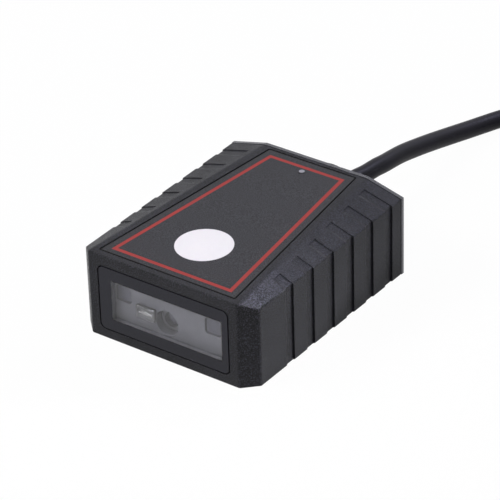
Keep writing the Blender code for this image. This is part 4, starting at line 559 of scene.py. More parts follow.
@dataclass(frozen=True)
class LabelFilm(Finish):
    """Polyester label film, printed from behind: dark ground, red border line and a white round badge, with a
    painted shadow line round its edge.

    Depth is measured from the window face, and the film tapers evenly from its front to its rear.
    """

    ground_dark: str = "#151517"
    ground_light: str = "#35353A"
    tone_range: Pair = (0.35, 0.65)
    # Painted shade: the colour cut and the width after it draw a near-black band along the film's outer edge,
    # for the shadow in the gap round the label.
    cut: str = "#060606"
    painted_gap_shade_width: float = 0.00018
    red: str = "#95302D"
    white: str = "#E4E1E1"
    # The film's matt grain is finer than 0.1 mm. It is drawn coarser, because it wouldn't show in the render.
    grain_mm: float = 0.22
    relief_mm: float = 0.012
    roughness: Pair = (0.52, 0.40)
    specular: float = 0.2
    front_d: float = 0.00182
    rear_d: float = 0.05176
    front_half: float = 0.016553
    rear_half: float = 0.010800
    front_inset: float = 0.00134
    rear_inset: float = 0.00177
    side_inset: float = 0.00160
    stroke: float = 0.00085
    badge_d: float = 0.01424
    badge_r: float = 0.0060
    blur: float = 0.00002

    def band(self, tree: bpy.types.NodeTree, distance: Feed) -> Feed:
        """Gives 1 where a distance is above 0, with a narrow soft step.

        Args:
            tree: The node tree.
            distance: The signed distance in metres.

        Returns:
            The step's value, 0 to 1.
        """
        return add_node(tree, "MapRange", {0: distance, RANGE_FROM: -self.blur, RANGE_TO: self.blur})

    def inset(self, tree: bpy.types.NodeTree, x: Feed, depth: Feed, sides: float, front: float,
              rear: float) -> Feed:
        """Measures how far inside an inset copy of the film's outline a place lies.

        Args:
            tree: The node tree.
            x: The distance from the film's centre line, across.
            depth: The distance from the window face, along.
            sides: How far the copy's two long edges lie inside the film's.
            front: The same for the front edge.
            rear: The same for the rear edge.

        Returns:
            The distance in metres, below 0 outside the copy.
        """
        slope = (self.rear_half - self.front_half) / (self.rear_d - self.front_d)
        lean = 1.0 / math.hypot(1.0, slope)
        half = add_node(tree, "Math", {0: depth, 1: slope, 2: self.front_half - slope * self.front_d},
                        operation="MULTIPLY_ADD")
        off = add_node(tree, "Math", {0: x}, operation="ABSOLUTE")
        room = add_node(tree, "Math", {0: half, 1: off}, operation="SUBTRACT")
        across = add_node(tree, "Math", {0: room, 1: lean}, operation="MULTIPLY")
        to_side = add_node(tree, "Math", {0: across, 1: sides}, operation="SUBTRACT")
        to_front = add_node(tree, "Math", {0: depth, 1: self.front_d + front}, operation="SUBTRACT")
        to_rear = add_node(tree, "Math", {0: self.rear_d - rear, 1: depth}, operation="SUBTRACT")
        to_end = add_node(tree, "Math", {0: to_front, 1: to_rear}, operation="MINIMUM")
        return add_node(tree, "Math", {0: to_side, 1: to_end}, operation="MINIMUM")

    def border(self, tree: bpy.types.NodeTree, x: Feed, depth: Feed) -> Feed:
        """Draws the border line inside the film's edge.

        Args:
            tree: The node tree.
            x: The distance from the film's centre line, across.
            depth: The distance from the window face, along.

        Returns:
            1 on the line and 0 elsewhere.
        """
        inside = self.inset(tree, x, depth, self.side_inset, self.front_inset, self.rear_inset)
        past = add_node(tree, "Math", {0: inside, 1: self.stroke}, operation="SUBTRACT")
        return add_node(tree, "Math", {0: self.band(tree, inside), 1: self.band(tree, past)},
                        operation="SUBTRACT")

    def badge(self, tree: bpy.types.NodeTree, x: Feed, depth: Feed) -> Feed:
        """Draws the plain round badge.

        Args:
            tree: The node tree.
            x: The distance from the film's centre line, across.
            depth: The distance from the window face, along.

        Returns:
            1 on the badge and 0 elsewhere.
        """
        along = add_node(tree, "Math", {0: depth, 1: self.badge_d}, operation="SUBTRACT")
        square = add_node(tree, "Math", {0: along, 1: along}, operation="MULTIPLY")
        squares = add_node(tree, "Math", {0: x, 1: x, 2: square}, operation="MULTIPLY_ADD")
        radius = add_node(tree, "Math", {0: squares}, operation="SQRT")
        return self.band(tree, add_node(tree, "Math", {0: self.badge_r, 1: radius}, operation="SUBTRACT"))

    def build(self) -> bpy.types.Material:
        """Makes the material.

        Returns:
            The material.
        """
        material, tree, place = new_material(self.name)
        x, y = add_node(tree, "SeparateXYZ", {0: place}).outputs[:2]
        depth = add_node(tree, "Math", {0: y, 1: BODY_HALF_LENGTH}, operation="ADD")
        grain = add_node(tree, "TexNoise", {"Vector": place, "Scale": per_mm(self.grain_mm),
                                            "Detail": 1.5, "Roughness": 0.6})
        ground = add_node(tree, "ValToRGB", {0: grain},
                          stops=zip(self.tone_range, (self.ground_dark, self.ground_light)))
        # Painted shade: the film's outermost band takes the near-black colour cut, for the shadow in the gap
        # round the label.
        film = self.band(tree, self.inset(tree, x, depth, self.painted_gap_shade_width, self.painted_gap_shade_width, self.painted_gap_shade_width))
        colour = add_node(tree, "Mix", {0: film, COLOUR_A: linear(self.cut), COLOUR_B: ground},
                          data_type="RGBA").outputs[COLOUR_OUT]
        for area, ink in ((self.border(tree, x, depth), self.red), (self.badge(tree, x, depth), self.white)):
            colour = add_node(tree, "Mix", {0: area, COLOUR_A: colour, COLOUR_B: linear(ink)},
                              data_type="RGBA").outputs[COLOUR_OUT]
        gloss = add_node(tree, "MapRange", {0: grain, RANGE_LOW: self.roughness[0],
                                            RANGE_HIGH: self.roughness[1]})
        bump = add_node(tree, "Bump", {"Strength": 0.7, "Distance": self.relief_mm * MM, "Height": grain})
        shader = add_node(tree, "BsdfPrincipled", {"Base Color": colour, "Roughness": gloss, "IOR": 1.5,
                                                   "Specular IOR Level": self.specular, "Normal": bump})
        add_node(tree, "OutputMaterial", {"Surface": shader})
        return material


@dataclass(frozen=True)
class StudioFloor(Finish):
    """Seamless white paper: white to the camera, with a faint trace of the object's shadow."""

    paper_dark: str = "#E6E6E6"
    paper_light: str = "#EAEAEA"
    fibre_mm: float = 1.2
    roughness: float = 0.6
    shadow_share: float = 0.025

    def build(self) -> bpy.types.Material:
        """Makes the material.

        Returns:
            The material.
        """
        material, tree, place = new_material(self.name)
        fibre = add_node(tree, "TexNoise", {"Vector": place, "Scale": per_mm(self.fibre_mm), "Detail": 3.0})
        colour = add_node(tree, "ValToRGB", {0: fibre},
                          stops=zip(SOFT_RANGE, (self.paper_dark, self.paper_light)))
        lit = add_node(tree, "BsdfDiffuse", {"Color": colour, "Roughness": self.roughness})
        white = add_node(tree, "Emission", {"Color": (1.0, 1.0, 1.0, 1.0), "Strength": 1.0})
        share = add_node(tree, "Math", {0: share_seen(tree), 1: 1.0 - self.shadow_share},
                         operation="MULTIPLY")
        both = add_node(tree, "MixShader", {0: share, 1: lit, 2: white})
        add_node(tree, "OutputMaterial", {"Surface": both})
        return material


class Finishes:
    """The finishes of this reader, named for what each real one is."""

    # Charcoal ABS from a spark-eroded tool: matt, with glossy specks whose lighter colour is a painted glint.
    SHELL = MouldedPlastic("textured_abs_charcoal")
    # The same ABS on the rear cover, with a flatter grain, more gloss and a rolled edge that shows light.
    COVER = MouldedPlastic("textured_abs_cover", dark="#34343A", light="#424248", relief_mm=0.02,
                           roughness=0.36, roughness_change=0.08, specular=0.6, rim=(0.0258, 0.0266))
    # Polycarbonate of the scan engine's bracket: mid grey, smooth and dull.
    ENGINE = SmoothPlastic("moulded_polycarbonate_grey", dark="#5E5E69", light="#686873", roughness=0.5)
    # Closed-cell foam between window and engine, against dust and stray light: pale grey and quite matt.
    FOAM = SmoothPlastic("closed_cell_foam_grey", dark="#8A8A92", light="#96969E", roughness=0.8, flow_mm=0.5,
                         specular=0.1)
    # Epoxy moulding of chips, buzzer and lens holder: black, with a dull sheen.
    CHIP = SmoothPlastic("moulded_epoxy_black", dark="#101011", light="#18181A", roughness=0.5)
    # Heat-resistant nylon of sockets and plugs: ivory, with a soft sheen.
    SOCKET = SmoothPlastic("moulded_nylon_ivory", dark="#CFC7B2", light="#DDD6C3", roughness=0.4)
    # Hard-coated acrylic with a black screen print: the inside shows sharp, with a weak reflection over it.
    WINDOW = PrintedWindow("screen_printed_acrylic", reflection=0.7)
    # Clear acrylic rod of the status lamp, polished.
    PIPE = ClearPlastic("polished_acrylic_rod")
    # Smoked diffuser of the lamps, which hides the LED behind it.
    LAMP_LENS = ClearPlastic("smoked_acrylic_diffuser", tint="#8C8C93", roughness=0.3, reflection=0.3,
                             milk=0.9, milk_colour="#585866")
    # Moulded lens of the aimer, a little hazy, with a bright facet.
    AIMER_LENS = ClearPlastic("moulded_acrylic_lens", tint="#D0D0D6", roughness=0.06, reflection=0.55,
                              milk=0.3, milk_colour="#8A8A92")
    # Moulded barrel round the lens, dark grey and dull.
    BARREL = SmoothPlastic("moulded_barrel_grey", dark="#4C4C55", light="#55555E", roughness=0.45)
    # Coated optical glass: a cool tint, over the grey that its coating and depth scatter.
    LENS = ClearPlastic("coated_lens_glass", tint="#BFC9E0", ior=1.6, milk=0.75, milk_colour="#757584")
    # Double-sided foam tape, black and matt.
    TAPE = SmoothPlastic("foam_tape_black", dark="#0C0C0D", light="#111112", roughness=0.7, specular=0.15)
    # Silicone and EPDM parts, matt: seal, gland, tie and plug grip.
    RUBBER = SoftRubber("moulded_rubber_black", dark="#0C0C0E", light="#111114", roughness=0.6, specular=0.08)
    # Extruded PVC jacket of the lead, with a satin sheen.
    JACKET = SoftRubber("extruded_pvc_jacket", dark="#17161C", light="#1E1D24", specular=0.12)
    # Zinc-plated steel of the screws and the plug's shell: bright, with blurred reflections.
    STEEL = Metal("zinc_plated_steel")
    # Turned brass of the thread inserts, a warm yellow.
    BRASS = Metal("turned_brass", dark="#B08A45", light="#CDA65C", roughness=0.28)
    # Cast resin of an infrared or deep red LED: smoky and glossy.
    LED = SmoothPlastic("cast_led_resin", dark="#4A473C", light="#5A5648", roughness=0.25)
    # Glass-epoxy laminate under green solder mask, glossy over its weave.
    BOARD = SmoothPlastic("solder_mask_green", dark="#0D3B24", light="#12492D", roughness=0.28, flow_mm=0.8)
    # Polyimide film of the flat flex, a glossy amber.
    FLEX = SmoothPlastic("polyimide_film_amber", dark="#A05A14", light="#B86C1C", roughness=0.3)
    # The film's frosted clear spot over the status lamp, a dull pale grey.
    FROSTED = SmoothPlastic("frosted_film_window", dark="#85858A", light="#96969B", roughness=0.45,
                            specular=0.3)
    # Nylon tongue of the USB plug, white, with gold-plated strips.
    TONGUE = ContactTongue("usb_tongue_nylon", dark="#D8D8D4", light="#E6E6E2", roughness=0.4)
    # Polyester film of the label, printed from behind: matt, under a faint grain.
    LABEL = LabelFilm("printed_polyester_film")
    # Paper of the studio's floor, matt and white.
    FLOOR = StudioFloor("seamless_white_paper")


# Modelling helpers


def start_piece() -> None:
    """Leaves edit mode and deselects everything, so that an operator acts on the new primitive alone."""
    if bpy.context.object and bpy.context.object.mode != "OBJECT":
        bpy.ops.object.mode_set(mode="OBJECT")
    bpy.ops.object.select_all(action="DESELECT")


def select_facing(piece: bpy.types.Object, way: Triple) -> None:
    """Selects the faces of a piece that face one way, and goes into edit mode.

    Args:
        piece: The active mesh object.
        way: The direction, of length 1.
    """
    bpy.ops.object.mode_set(mode="EDIT")
    bpy.ops.mesh.select_mode(type="FACE")
    bpy.ops.mesh.select_all(action="DESELECT")
    bpy.ops.object.mode_set(mode="OBJECT")
    for face in piece.data.polygons:
        face.select = face.normal.dot(Vector(way)) > FACING
    bpy.ops.object.mode_set(mode="EDIT")


def extrude(way: Triple) -> None:
    """Extrudes the selected faces by a vector."""
    bpy.ops.mesh.extrude_region_move(TRANSFORM_OT_translate={"value": way})


def apply_place() -> None:
    """Puts the selected object's place, turn and scale into its mesh."""
    bpy.ops.object.transform_apply(location=True, rotation=True, scale=True)


def seat(piece: bpy.types.Object, name: str, finish: Finish,
         move: Triple = ORIGIN) -> bpy.types.Object:
    """Finishes a piece: moves it to its place, puts that place into its mesh, and dresses it.

    Args:
        piece: The piece, active and selected.
        name: Its name.
        finish: Its finish.
        move: How far it moves to its place, in metres.

    Returns:
        The piece.
    """
    if bpy.context.object.mode != "OBJECT":
        bpy.ops.object.mode_set(mode="OBJECT")
    bpy.ops.transform.translate(value=move)
    apply_place()
    piece.name = name
    finish.cover(piece)
    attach(piece, "root")
    return piece


def copy_to(piece: bpy.types.Object, name: str, move: Triple) -> bpy.types.Object:
    """Copies a finished piece, with a mesh of its own, to another place.

    Args:
        piece: The piece.
        name: The copy's name.
        move: How far the copy lies from the piece, in metres.

    Returns:
        The copy.
    """
    twin = piece.copy()
    twin.data = piece.data.copy()
    twin.name = name
    twin.data.transform(Matrix.Translation(move))
    bpy.context.scene.collection.objects.link(twin)
    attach(twin, "root")
    return twin


def repeat(piece: bpy.types.Object, name: str, finish: Finish,
           places: list[Vector]) -> list[bpy.types.Object]:
    """Seats a piece at the first of several places, and copies it to the others.

    Args:
        piece: The piece, active and selected, at the origin.
        name: The name that each gets, before its number.
        finish: The finish of all.
        places: Where they go.

    Returns:
        The pieces, in the order of their places.
    """
    first = seat(piece, f"{name}_1", finish, tuple(places[0]))
    return [first] + [copy_to(first, f"{name}_{number}", tuple(place - places[0]))
                      for number, place in enumerate(places[1:], 2)]


def cut_with(piece: bpy.types.Object, tool: bpy.types.Object) -> None:
    """Cuts a tool's shape out of a piece and removes the tool.

    Args:
        piece: The piece that is cut.
        tool: The closed mesh that cuts it.
    """
    start_piece()
    bpy.context.view_layer.objects.active = piece
    piece.select_set(True)
    modifier = piece.modifiers.new("cut", "BOOLEAN")
    modifier.object = tool
    modifier.solver = "EXACT"
    bpy.ops.object.modifier_apply(modifier=modifier.name)
    bpy.data.objects.remove(tool)


# The reader's sub-assemblies


@dataclass
class SubAssembly:
    """A group of CAD nodes and new pieces that is built and dressed together."""

    nodes: dict[str, bpy.types.Object] = field(default_factory=lambda: frame["nodes"])

    def dress(self, finish: Finish, *names: str) -> None:
        """Puts a finish on CAD nodes.

        Args:
            finish: The finish.
            *names: The nodes' names.
        """
        finish.cover(*(self.nodes[name] for name in names))

    def build(self) -> list[bpy.types.Object]:
        """Builds the group's new pieces and dresses its nodes, and returns the new pieces."""
        raise NotImplementedError


@dataclass
class Housing(SubAssembly):
    """The moulded shell, its rear cover with seal and screws, and the thread inserts."""

    screw_count: int = 4
    head_r: float = 0.0017
    head_depth: float = 0.0009
    head_round: float = 0.00012
    shaft_r: float = 0.0008
    shaft_length: float = 0.0066
    recess_width: float = 0.00042
    recess_length: float = 0.0021
    recess_depth: float = 0.0006
    # The recess's floor is this share of its mouth.
    recess_taper: float = 0.6
    smooth_angle: float = math.radians(30.0)
    insert_count: int = 4
    bore_r: float = 0.00125
    thread_pitch: float = 0.0005
    thread_height: float = 0.00013
    thread_turns: int = 7
    thread_start: float = 0.0005

    def build_screw(self) -> bpy.types.Object:
        """Models one cover screw at the origin: a countersunk head with a cross recess, on its shaft.

        Returns:
            The screw, whose head faces back.
        """
        start_piece()
        bpy.ops.mesh.primitive_cone_add(vertices=48, radius1=self.shaft_r, radius2=self.head_r,
                                        depth=self.head_depth)
        screw = bpy.context.object
        bpy.ops.transform.translate(value=(0.0, 0.0, -self.head_depth / 2))
        apply_place()
        select_facing(screw, UP)
        bpy.ops.mesh.bevel(offset=self.head_round, segments=3, affect="EDGES")
        select_facing(screw, DOWN)
        extrude((0.0, 0.0, -self.shaft_length))
        bpy.ops.object.mode_set(mode="OBJECT")
        for turn in (math.pi / 4, 3 * math.pi / 4):
            start_piece()
            bpy.ops.mesh.primitive_cube_add(size=1.0, rotation=(0.0, 0.0, turn))
            tool = bpy.context.object
            tool.scale = (self.recess_length, self.recess_width, 2 * self.recess_depth)
            apply_place()
            select_facing(tool, DOWN)
            bpy.ops.transform.resize(value=(self.recess_taper, self.recess_taper, 1.0))
            bpy.ops.object.mode_set(mode="OBJECT")
            cut_with(screw, tool)
        bpy.ops.transform.rotate(value=math.pi / 2, orient_axis="X", center_override=ORIGIN)
        apply_place()
        return screw

    def build_screws(self) -> list[bpy.types.Object]:
        """Puts the cover screws in their places, with their heads where the CAD screws' heads are.

        Returns:
            The screws.
        """
        heads = []
        for number in range(1, self.screw_count + 1):
            low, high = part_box(f"cover_screw_{number}")
            heads.append(Vector(((low[0] + high[0]) / 2, high[1], (low[2] + high[2]) / 2)))
        screw = self.build_screw()
        bpy.ops.object.shade_smooth_by_angle(angle=self.smooth_angle)
        screws = repeat(screw, "cover_screw_head", Finishes.STEEL, heads)
        for number, screw in enumerate(screws, 1):
            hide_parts(f"cover_screw_{number}")
        return screws

    def build_threads(self) -> list[bpy.types.Object]:
        """Models the M3 thread inside each insert, as rings a pitch apart.

        Returns:
            The threads.
        """
        start_piece()
        rings = []
        for k in range(self.thread_turns):
            bpy.ops.mesh.primitive_torus_add(major_segments=36, minor_segments=4, major_radius=self.bore_r,
                                             minor_radius=self.thread_height,
                                             location=(0.0, 0.0, self.thread_start + k * self.thread_pitch))
            rings.append(bpy.context.object)
        for ring in rings:
            ring.select_set(True)
        bpy.ops.object.join()
        mouths = []
        for number in range(1, self.insert_count + 1):
            low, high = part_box(f"thread_insert_{number}")
            mouths.append(Vector(((low[0] + high[0]) / 2, (low[1] + high[1]) / 2, 0.0)))
        return repeat(bpy.context.object, "insert_thread", Finishes.BRASS, mouths)

    def build(self) -> list[bpy.types.Object]:
        """Builds the group.

        Returns:
            Its new pieces.
        """
        self.dress(Finishes.SHELL, "housing")
        self.dress(Finishes.COVER, "rear_cover")
        self.dress(Finishes.RUBBER, "rear_seal")
        self.dress(Finishes.BRASS, *(f"thread_insert_{number}" for number in range(1, self.insert_count + 1)))
        return self.build_screws() + self.build_threads()


@dataclass
class ScanWindow(SubAssembly):
    """The clear panel in the front face, with the black tape frame and a foam frame behind it."""

    foam_half: float = 0.0143
    foam_low: float = 0.00305
    foam_high: float = 0.01455
    foam_wall: float = 0.0011
    foam_inner_half: float = 0.0137
    foam_front_y: float = -0.0253
    foam_depth: float = 0.0009

    def build_foam(self) -> bpy.types.Object:
        """Models the foam frame that fills the gap from the tape to the engine.

        Returns:
            The frame.
        """
        start_piece()
        bpy.ops.mesh.primitive_plane_add(size=1.0, rotation=(math.pi / 2, 0.0, 0.0))
        foam = bpy.context.object
        foam.scale = (2 * self.foam_half, self.foam_high - self.foam_low, 1.0)
        apply_place()
        bpy.ops.object.mode_set(mode="EDIT")
        bpy.ops.mesh.select_all(action="SELECT")
        bpy.ops.mesh.inset(thickness=self.foam_wall, depth=0.0)
        bpy.ops.transform.resize(value=(self.foam_inner_half / (self.foam_half - self.foam_wall), 1.0, 1.0))
        bpy.ops.mesh.delete(type="FACE")
        bpy.ops.mesh.select_all(action="SELECT")
        extrude((0.0, self.foam_depth, 0.0))
        bpy.ops.mesh.select_all(action="SELECT")
        bpy.ops.mesh.normals_make_consistent(inside=False)
        return seat(foam, "window_foam", Finishes.FOAM,
                    (0.0, self.foam_front_y, (self.foam_low + self.foam_high) / 2))

    def build(self) -> list[bpy.types.Object]:
        """Builds the group.

        Returns:
            Its new pieces.
        """
        self.dress(Finishes.WINDOW, "scan_window")
        self.dress(Finishes.TAPE, "window_tape")
        return [self.build_foam()]


@dataclass
class TopLabel(SubAssembly):
    """The printed film on top, with the light pipe of the status lamp and the film's window over it."""

    spot_y: float = 0.02106
    spot_z: float = 0.02027
    film_r: float = 0.00098
    spot_r: float = 0.00060
    film: float = 0.00004
    # The label rises towards the rear by this share of its length.
    slope: float = 0.0167

    def build_spot(self) -> bpy.types.Object:
        """Models the film's frosted round window over the light pipe.

        Returns:
            The window in a ring of printed film.
        """
        start_piece()
        bpy.ops.mesh.primitive_cylinder_add(vertices=48, radius=self.film_r, depth=self.film)
        spot = bpy.context.object
        select_facing(spot, UP)
        bpy.ops.mesh.inset(thickness=self.film_r - self.spot_r, depth=0.0)
        bpy.ops.object.mode_set(mode="OBJECT")
        bpy.ops.transform.rotate(value=-math.atan(self.slope), orient_axis="X", center_override=ORIGIN)
        seat(spot, "status_spot", Finishes.LABEL, (0.0, self.spot_y, self.spot_z))
        spot.data.materials.append(Finishes.FROSTED.material())
        # The inset left the inner face selected, and that one is frosted.
        for face in spot.data.polygons:
            face.material_index = int(face.select)
        return spot

    def build(self) -> list[bpy.types.Object]:
        """Builds the group.

        Returns:
            Its new pieces.
        """
        self.dress(Finishes.LABEL, "label")
        self.dress(Finishes.PIPE, "light_pipe")
        self.dress(Finishes.LED, "status_led")
        self.dress(Finishes.BOARD, "indicator_board")
        return [self.build_spot()]


@dataclass
class ScanEngine(SubAssembly):
    """The camera, aimer and lamps behind the window."""

    aimer_centre: Pair = (-0.00535, 0.00848)
    aimer_front_y: float = -0.0254
    aimer_size: Triple = (0.0046, 0.0008, 0.00295)
    aimer_rim: float = 0.0004
    # The dish's mouth is this share of the height inside the rim, and lies this far above the middle.
    aimer_mouth: float = 0.593
    aimer_mouth_lift: float = 0.0004375
    aimer_dish: float = 0.00045
    # The dish's floor has these shares of the mouth's width and height, and lies this far above its middle.
    # So the lower wall slopes at 45 degrees, and mirrors the fill light as a bright band.
    aimer_floor: Pair = (0.9, 0.51)
    aimer_floor_lift: float = 0.0001375
    aimer_neck: float = 0.0015
    aimer_neck_inset: float = 0.0006
    aimer_bevel: float = 0.00008

    def build_aimer(self) -> bpy.types.Object:
        """Models the aimer's clear lens: a rimmed head with a dished front, on its neck.

        Returns:
            The lens.
        """
        start_piece()
        bpy.ops.mesh.primitive_cube_add(size=1.0)
        lens = bpy.context.object
        lens.scale = self.aimer_size
        apply_place()
        select_facing(lens, FORWARD)
        bpy.ops.mesh.inset(thickness=self.aimer_rim, depth=0.0)
        bpy.ops.transform.resize(value=(1.0, 1.0, self.aimer_mouth))
        bpy.ops.transform.translate(value=(0.0, 0.0, self.aimer_mouth_lift))
        extrude((0.0, self.aimer_dish, 0.0))
        bpy.ops.transform.resize(value=(self.aimer_floor[0], 1.0, self.aimer_floor[1]))
        bpy.ops.transform.translate(value=(0.0, 0.0, self.aimer_floor_lift))
        select_facing(lens, BACKWARD)
        bpy.ops.mesh.inset(thickness=self.aimer_neck_inset, depth=0.0)
        extrude((0.0, self.aimer_neck, 0.0))
        bpy.ops.object.mode_set(mode="OBJECT")
        bevel = lens.modifiers.new("edges", "BEVEL")
        bevel.width = self.aimer_bevel
        bevel.segments = 2
        bpy.ops.object.modifier_apply(modifier=bevel.name)
        x, z = self.aimer_centre
        seat(lens, "aimer_moulding", Finishes.AIMER_LENS,
             (x, self.aimer_front_y + self.aimer_size[1] / 2, z))
        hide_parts("aimer_lens")
        return lens

    def build(self) -> list[bpy.types.Object]:
        """Builds the group.

        Returns:
            Its new pieces.
        """
        self.dress(Finishes.ENGINE, "engine_bracket")
        self.dress(Finishes.STEEL, "bracket_screw_left", "bracket_screw_right",
                   "sensor_screw_left", "sensor_screw_right")
        self.dress(Finishes.LAMP_LENS, "lamp_lens_left", "lamp_lens_right")
        self.dress(Finishes.LED, "aimer_led", "lamp_led_left", "lamp_led_right")
        self.dress(Finishes.BOARD, "light_board", "sensor_board")
        self.dress(Finishes.BARREL, "lens_barrel")
        self.dress(Finishes.CHIP, "lens_holder")
        self.dress(Finishes.LENS, "front_lens", "image_sensor")
        return [self.build_aimer()]


@dataclass
class Electronics(SubAssembly):
    """The decoder board and what is on it."""

    def build(self) -> list[bpy.types.Object]:
        """Dresses the group's nodes, and adds nothing.

        Returns:
            An empty list.
        """
        self.dress(Finishes.BOARD, "main_board")
        self.dress(Finishes.CHIP, "processor", "memory_chip", "buzzer")
        self.dress(Finishes.SOCKET, "flex_plug", "flex_socket", "lead_header", "lead_plug")
        self.dress(Finishes.FLEX, "flex_ribbon")
        self.dress(Finishes.JACKET, "inner_lead")
        return []


@dataclass(frozen=True)
class LaneChange:
    """One place where the coiled lead moves over to another lane of the coil.

    Lengths are in metres, angles in turns from the coil's start.
    """

    start: float
    span: float
    outwards: float = 0.0
    upwards: float = 0.0

    def share(self, turn: float) -> float:
        """Returns how much of the change is done at a turn, from 0 to 1."""
        return ease(min(1.0, max(0.0, (turn - self.start) / self.span)))


@dataclass
class Lead(SubAssembly):
    """The free data lead: its route from the gland, its coil and its run to the plug."""

    diameter: float = 0.004
    exit: Triple = (0.0, 0.0379, 0.0092)
    # The route from there: level out, down under its own weight, and along the table to the coil.
    route: tuple[Triple, ...] = (
        (0.0001, 0.0405, 0.0091), (0.0005, 0.0434, 0.0089), (0.0007, 0.0474, 0.0087),
        (0.0008, 0.0504, 0.0083), (0.0006, 0.0571, 0.0073), (0.0008, 0.0634, 0.0061),
        (0.0012, 0.0694, 0.0049), (0.0019, 0.0753, 0.0038), (0.0028, 0.0808, 0.0029),
        (0.0039, 0.0858, 0.0023), (0.0056, 0.0905, 0.0021), (0.0084, 0.0953, 0.0021),
        (0.0126, 0.0989, 0.0021), (0.0178, 0.1008, 0.0022), (0.0206, 0.1010, 0.0023),
        (0.0290, 0.1010, 0.0025), (0.0370, 0.1010, 0.0027), (0.0450, 0.1010, 0.0027),
    )
    route_steps: int = 4
    coil_centre: Pair = (0.0525, 0.07535)
    outer_r: float = 0.02565
    low_z: float = 0.0027
    turns: float = 8.0
    points_per_turn: int = 48
    # Three layers up in the outer lane, three down in the middle one, three up in the inner one, and over
    # the top to the outside.
    changes: tuple[LaneChange, ...] = (
        LaneChange(0.72, 0.18, upwards=LANE),
        LaneChange(1.72, 0.18, upwards=LANE),
        LaneChange(2.56, 0.16, outwards=-LANE),
        LaneChange(3.37, 0.19, upwards=-LANE),
        LaneChange(4.37, 0.19, upwards=-LANE),
        LaneChange(5.16, 0.21, outwards=-LANE),
        LaneChange(5.90, 0.26, upwards=LANE),
        LaneChange(6.90, 0.26, upwards=LANE),
        LaneChange(7.49, 0.25, upwards=0.0044),
        LaneChange(7.62, 0.38, outwards=2 * LANE),
    )
    plug_bend_r: float = 0.016
    plug_bend_steps: int = 14
    plug_z: float = 0.0167
    rounding: int = 4

    def coil_points(self) -> list[Vector]:
        """Winds the coil in three lanes of three layers, and leaves it over the top.

        Returns:
            The coil's points.
        """
        count = round(self.turns * self.points_per_turn)
        points = []
        for i in range(count + 1):
            turn = self.turns * i / count
            radius, height = self.outer_r, self.low_z
            for change in self.changes:
                radius += change.outwards * change.share(turn)
                height += change.upwards * change.share(turn)
            angle = math.radians(90.0 - 360.0 * turn)
            points.append(Vector((self.coil_centre[0] + radius * math.cos(angle),
                                  self.coil_centre[1] + radius * math.sin(angle), height)))
        return points

    def end_points(self, start: Vector) -> list[Vector]:
        """Bends the lead from the coil's far side round into the plug that lies on the coil.

        Args:
            start: The coil's last point, where the lead heads along +X.

        Returns:
            The points after that one.
        """
        points = []
        for k in range(1, self.plug_bend_steps + 1):
            share = k / self.plug_bend_steps
            angle = math.radians(90.0 * (1.0 - share))
            points.append(Vector((start.x + self.plug_bend_r * math.cos(angle),
                                  start.y + self.plug_bend_r * (math.sin(angle) - 1.0),
                                  start.z + (self.plug_z - start.z) * ease(share))))
        return points

    @staticmethod
    def smooth(points: list[Vector], steps: int) -> list[Vector]:
        """Runs a smooth line through points.

        Args:
            points: The points that it passes.
            steps: How many pieces each gap between them gets.

        Returns:
            The line's points.
        """
        line = [points[0]]
        for i in range(len(points) - 1):
            a = points[max(i - 1, 0)]
            b, c = points[i], points[i + 1]
            d = points[min(i + 2, len(points) - 1)]
            for k in range(1, steps + 1):
                t = k / steps
                line.append(0.5 * ((2 * b) + (c - a) * t + (2 * a - 5 * b + 4 * c - d) * t ** 2
                                   + (3 * b - a - 3 * c + d) * t ** 3))
        return line

    def line(self) -> list[Vector]:
        """Draws the lead's whole centreline.

        Returns:
            Its points, from the gland to the plug.
        """
        coil = self.coil_points()
        route = [Vector(point) for point in (self.exit, *self.route, coil[0])]
        return self.smooth(route, self.route_steps) + coil[1:] + self.end_points(coil[-1])

    def build_cord(self) -> bpy.types.Object:
        """Builds the lead as one round tube along its centreline.

        Returns:
            The lead.
        """
        line = self.line()
        data = bpy.data.curves.new("lead", "CURVE")
        data.dimensions = "3D"
        data.bevel_depth = self.diameter / 2
        data.bevel_resolution = self.rounding
        data.use_fill_caps = True
        spline = data.splines.new("POLY")
        spline.points.add(len(line) - 1)
        for point, place in zip(spline.points, line):
            point.co = (*place, 1.0)
        spline.use_smooth = True
        lead = bpy.data.objects.new("lead", data)
        bpy.context.scene.collection.objects.link(lead)
        Finishes.JACKET.cover(lead)
        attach(lead, "root")
        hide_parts("cable", "cable_coil", "cable_end")
        return lead

    def build(self) -> list[bpy.types.Object]:
        """Builds the group.

        Returns:
            Its new pieces.
        """
        self.dress(Finishes.RUBBER, "cable_gland", "coil_tie", "plug_grip")
        self.dress(Finishes.STEEL, "plug_shell")
        self.dress(Finishes.TONGUE, "plug_tongue")
        return [self.build_cord()]


# The studio


class LightRole(Enum):
    """What a soft light is there for."""

    KEY = "key"
    FILL = "fill"
    RIM = "rim"
    KICKER = "kicker"


@dataclass(frozen=True)
class SoftBox:
    """A rectangular soft light, as bright at every size, with its spread in degrees."""

    role: LightRole
    place: Triple
    aim: Triple
    width: float
    height: float
    radiance: float
    tint: str = "#FFFFFF"
    spread: float = 180.0

    def build(self) -> bpy.types.Object:
        """Adds the light, turned to its aim.

        Returns:
            The light.
        """
        data = bpy.data.lights.new(f"softbox_{self.role.value}", "AREA")
        data.shape = "RECTANGLE"
        data.size = self.width
        data.size_y = self.height
        data.energy = self.radiance * math.pi * self.width * self.height
        data.color = linear(self.tint)[:3]
        data.spread = math.radians(self.spread)
        light = bpy.data.objects.new(data.name, data)
        light.location = self.place
        light.rotation_mode = "QUATERNION"
        light.rotation_quaternion = (Vector(self.aim) - Vector(self.place)).to_track_quat("-Z", "Y")
        bpy.context.scene.collection.objects.link(light)
        return light


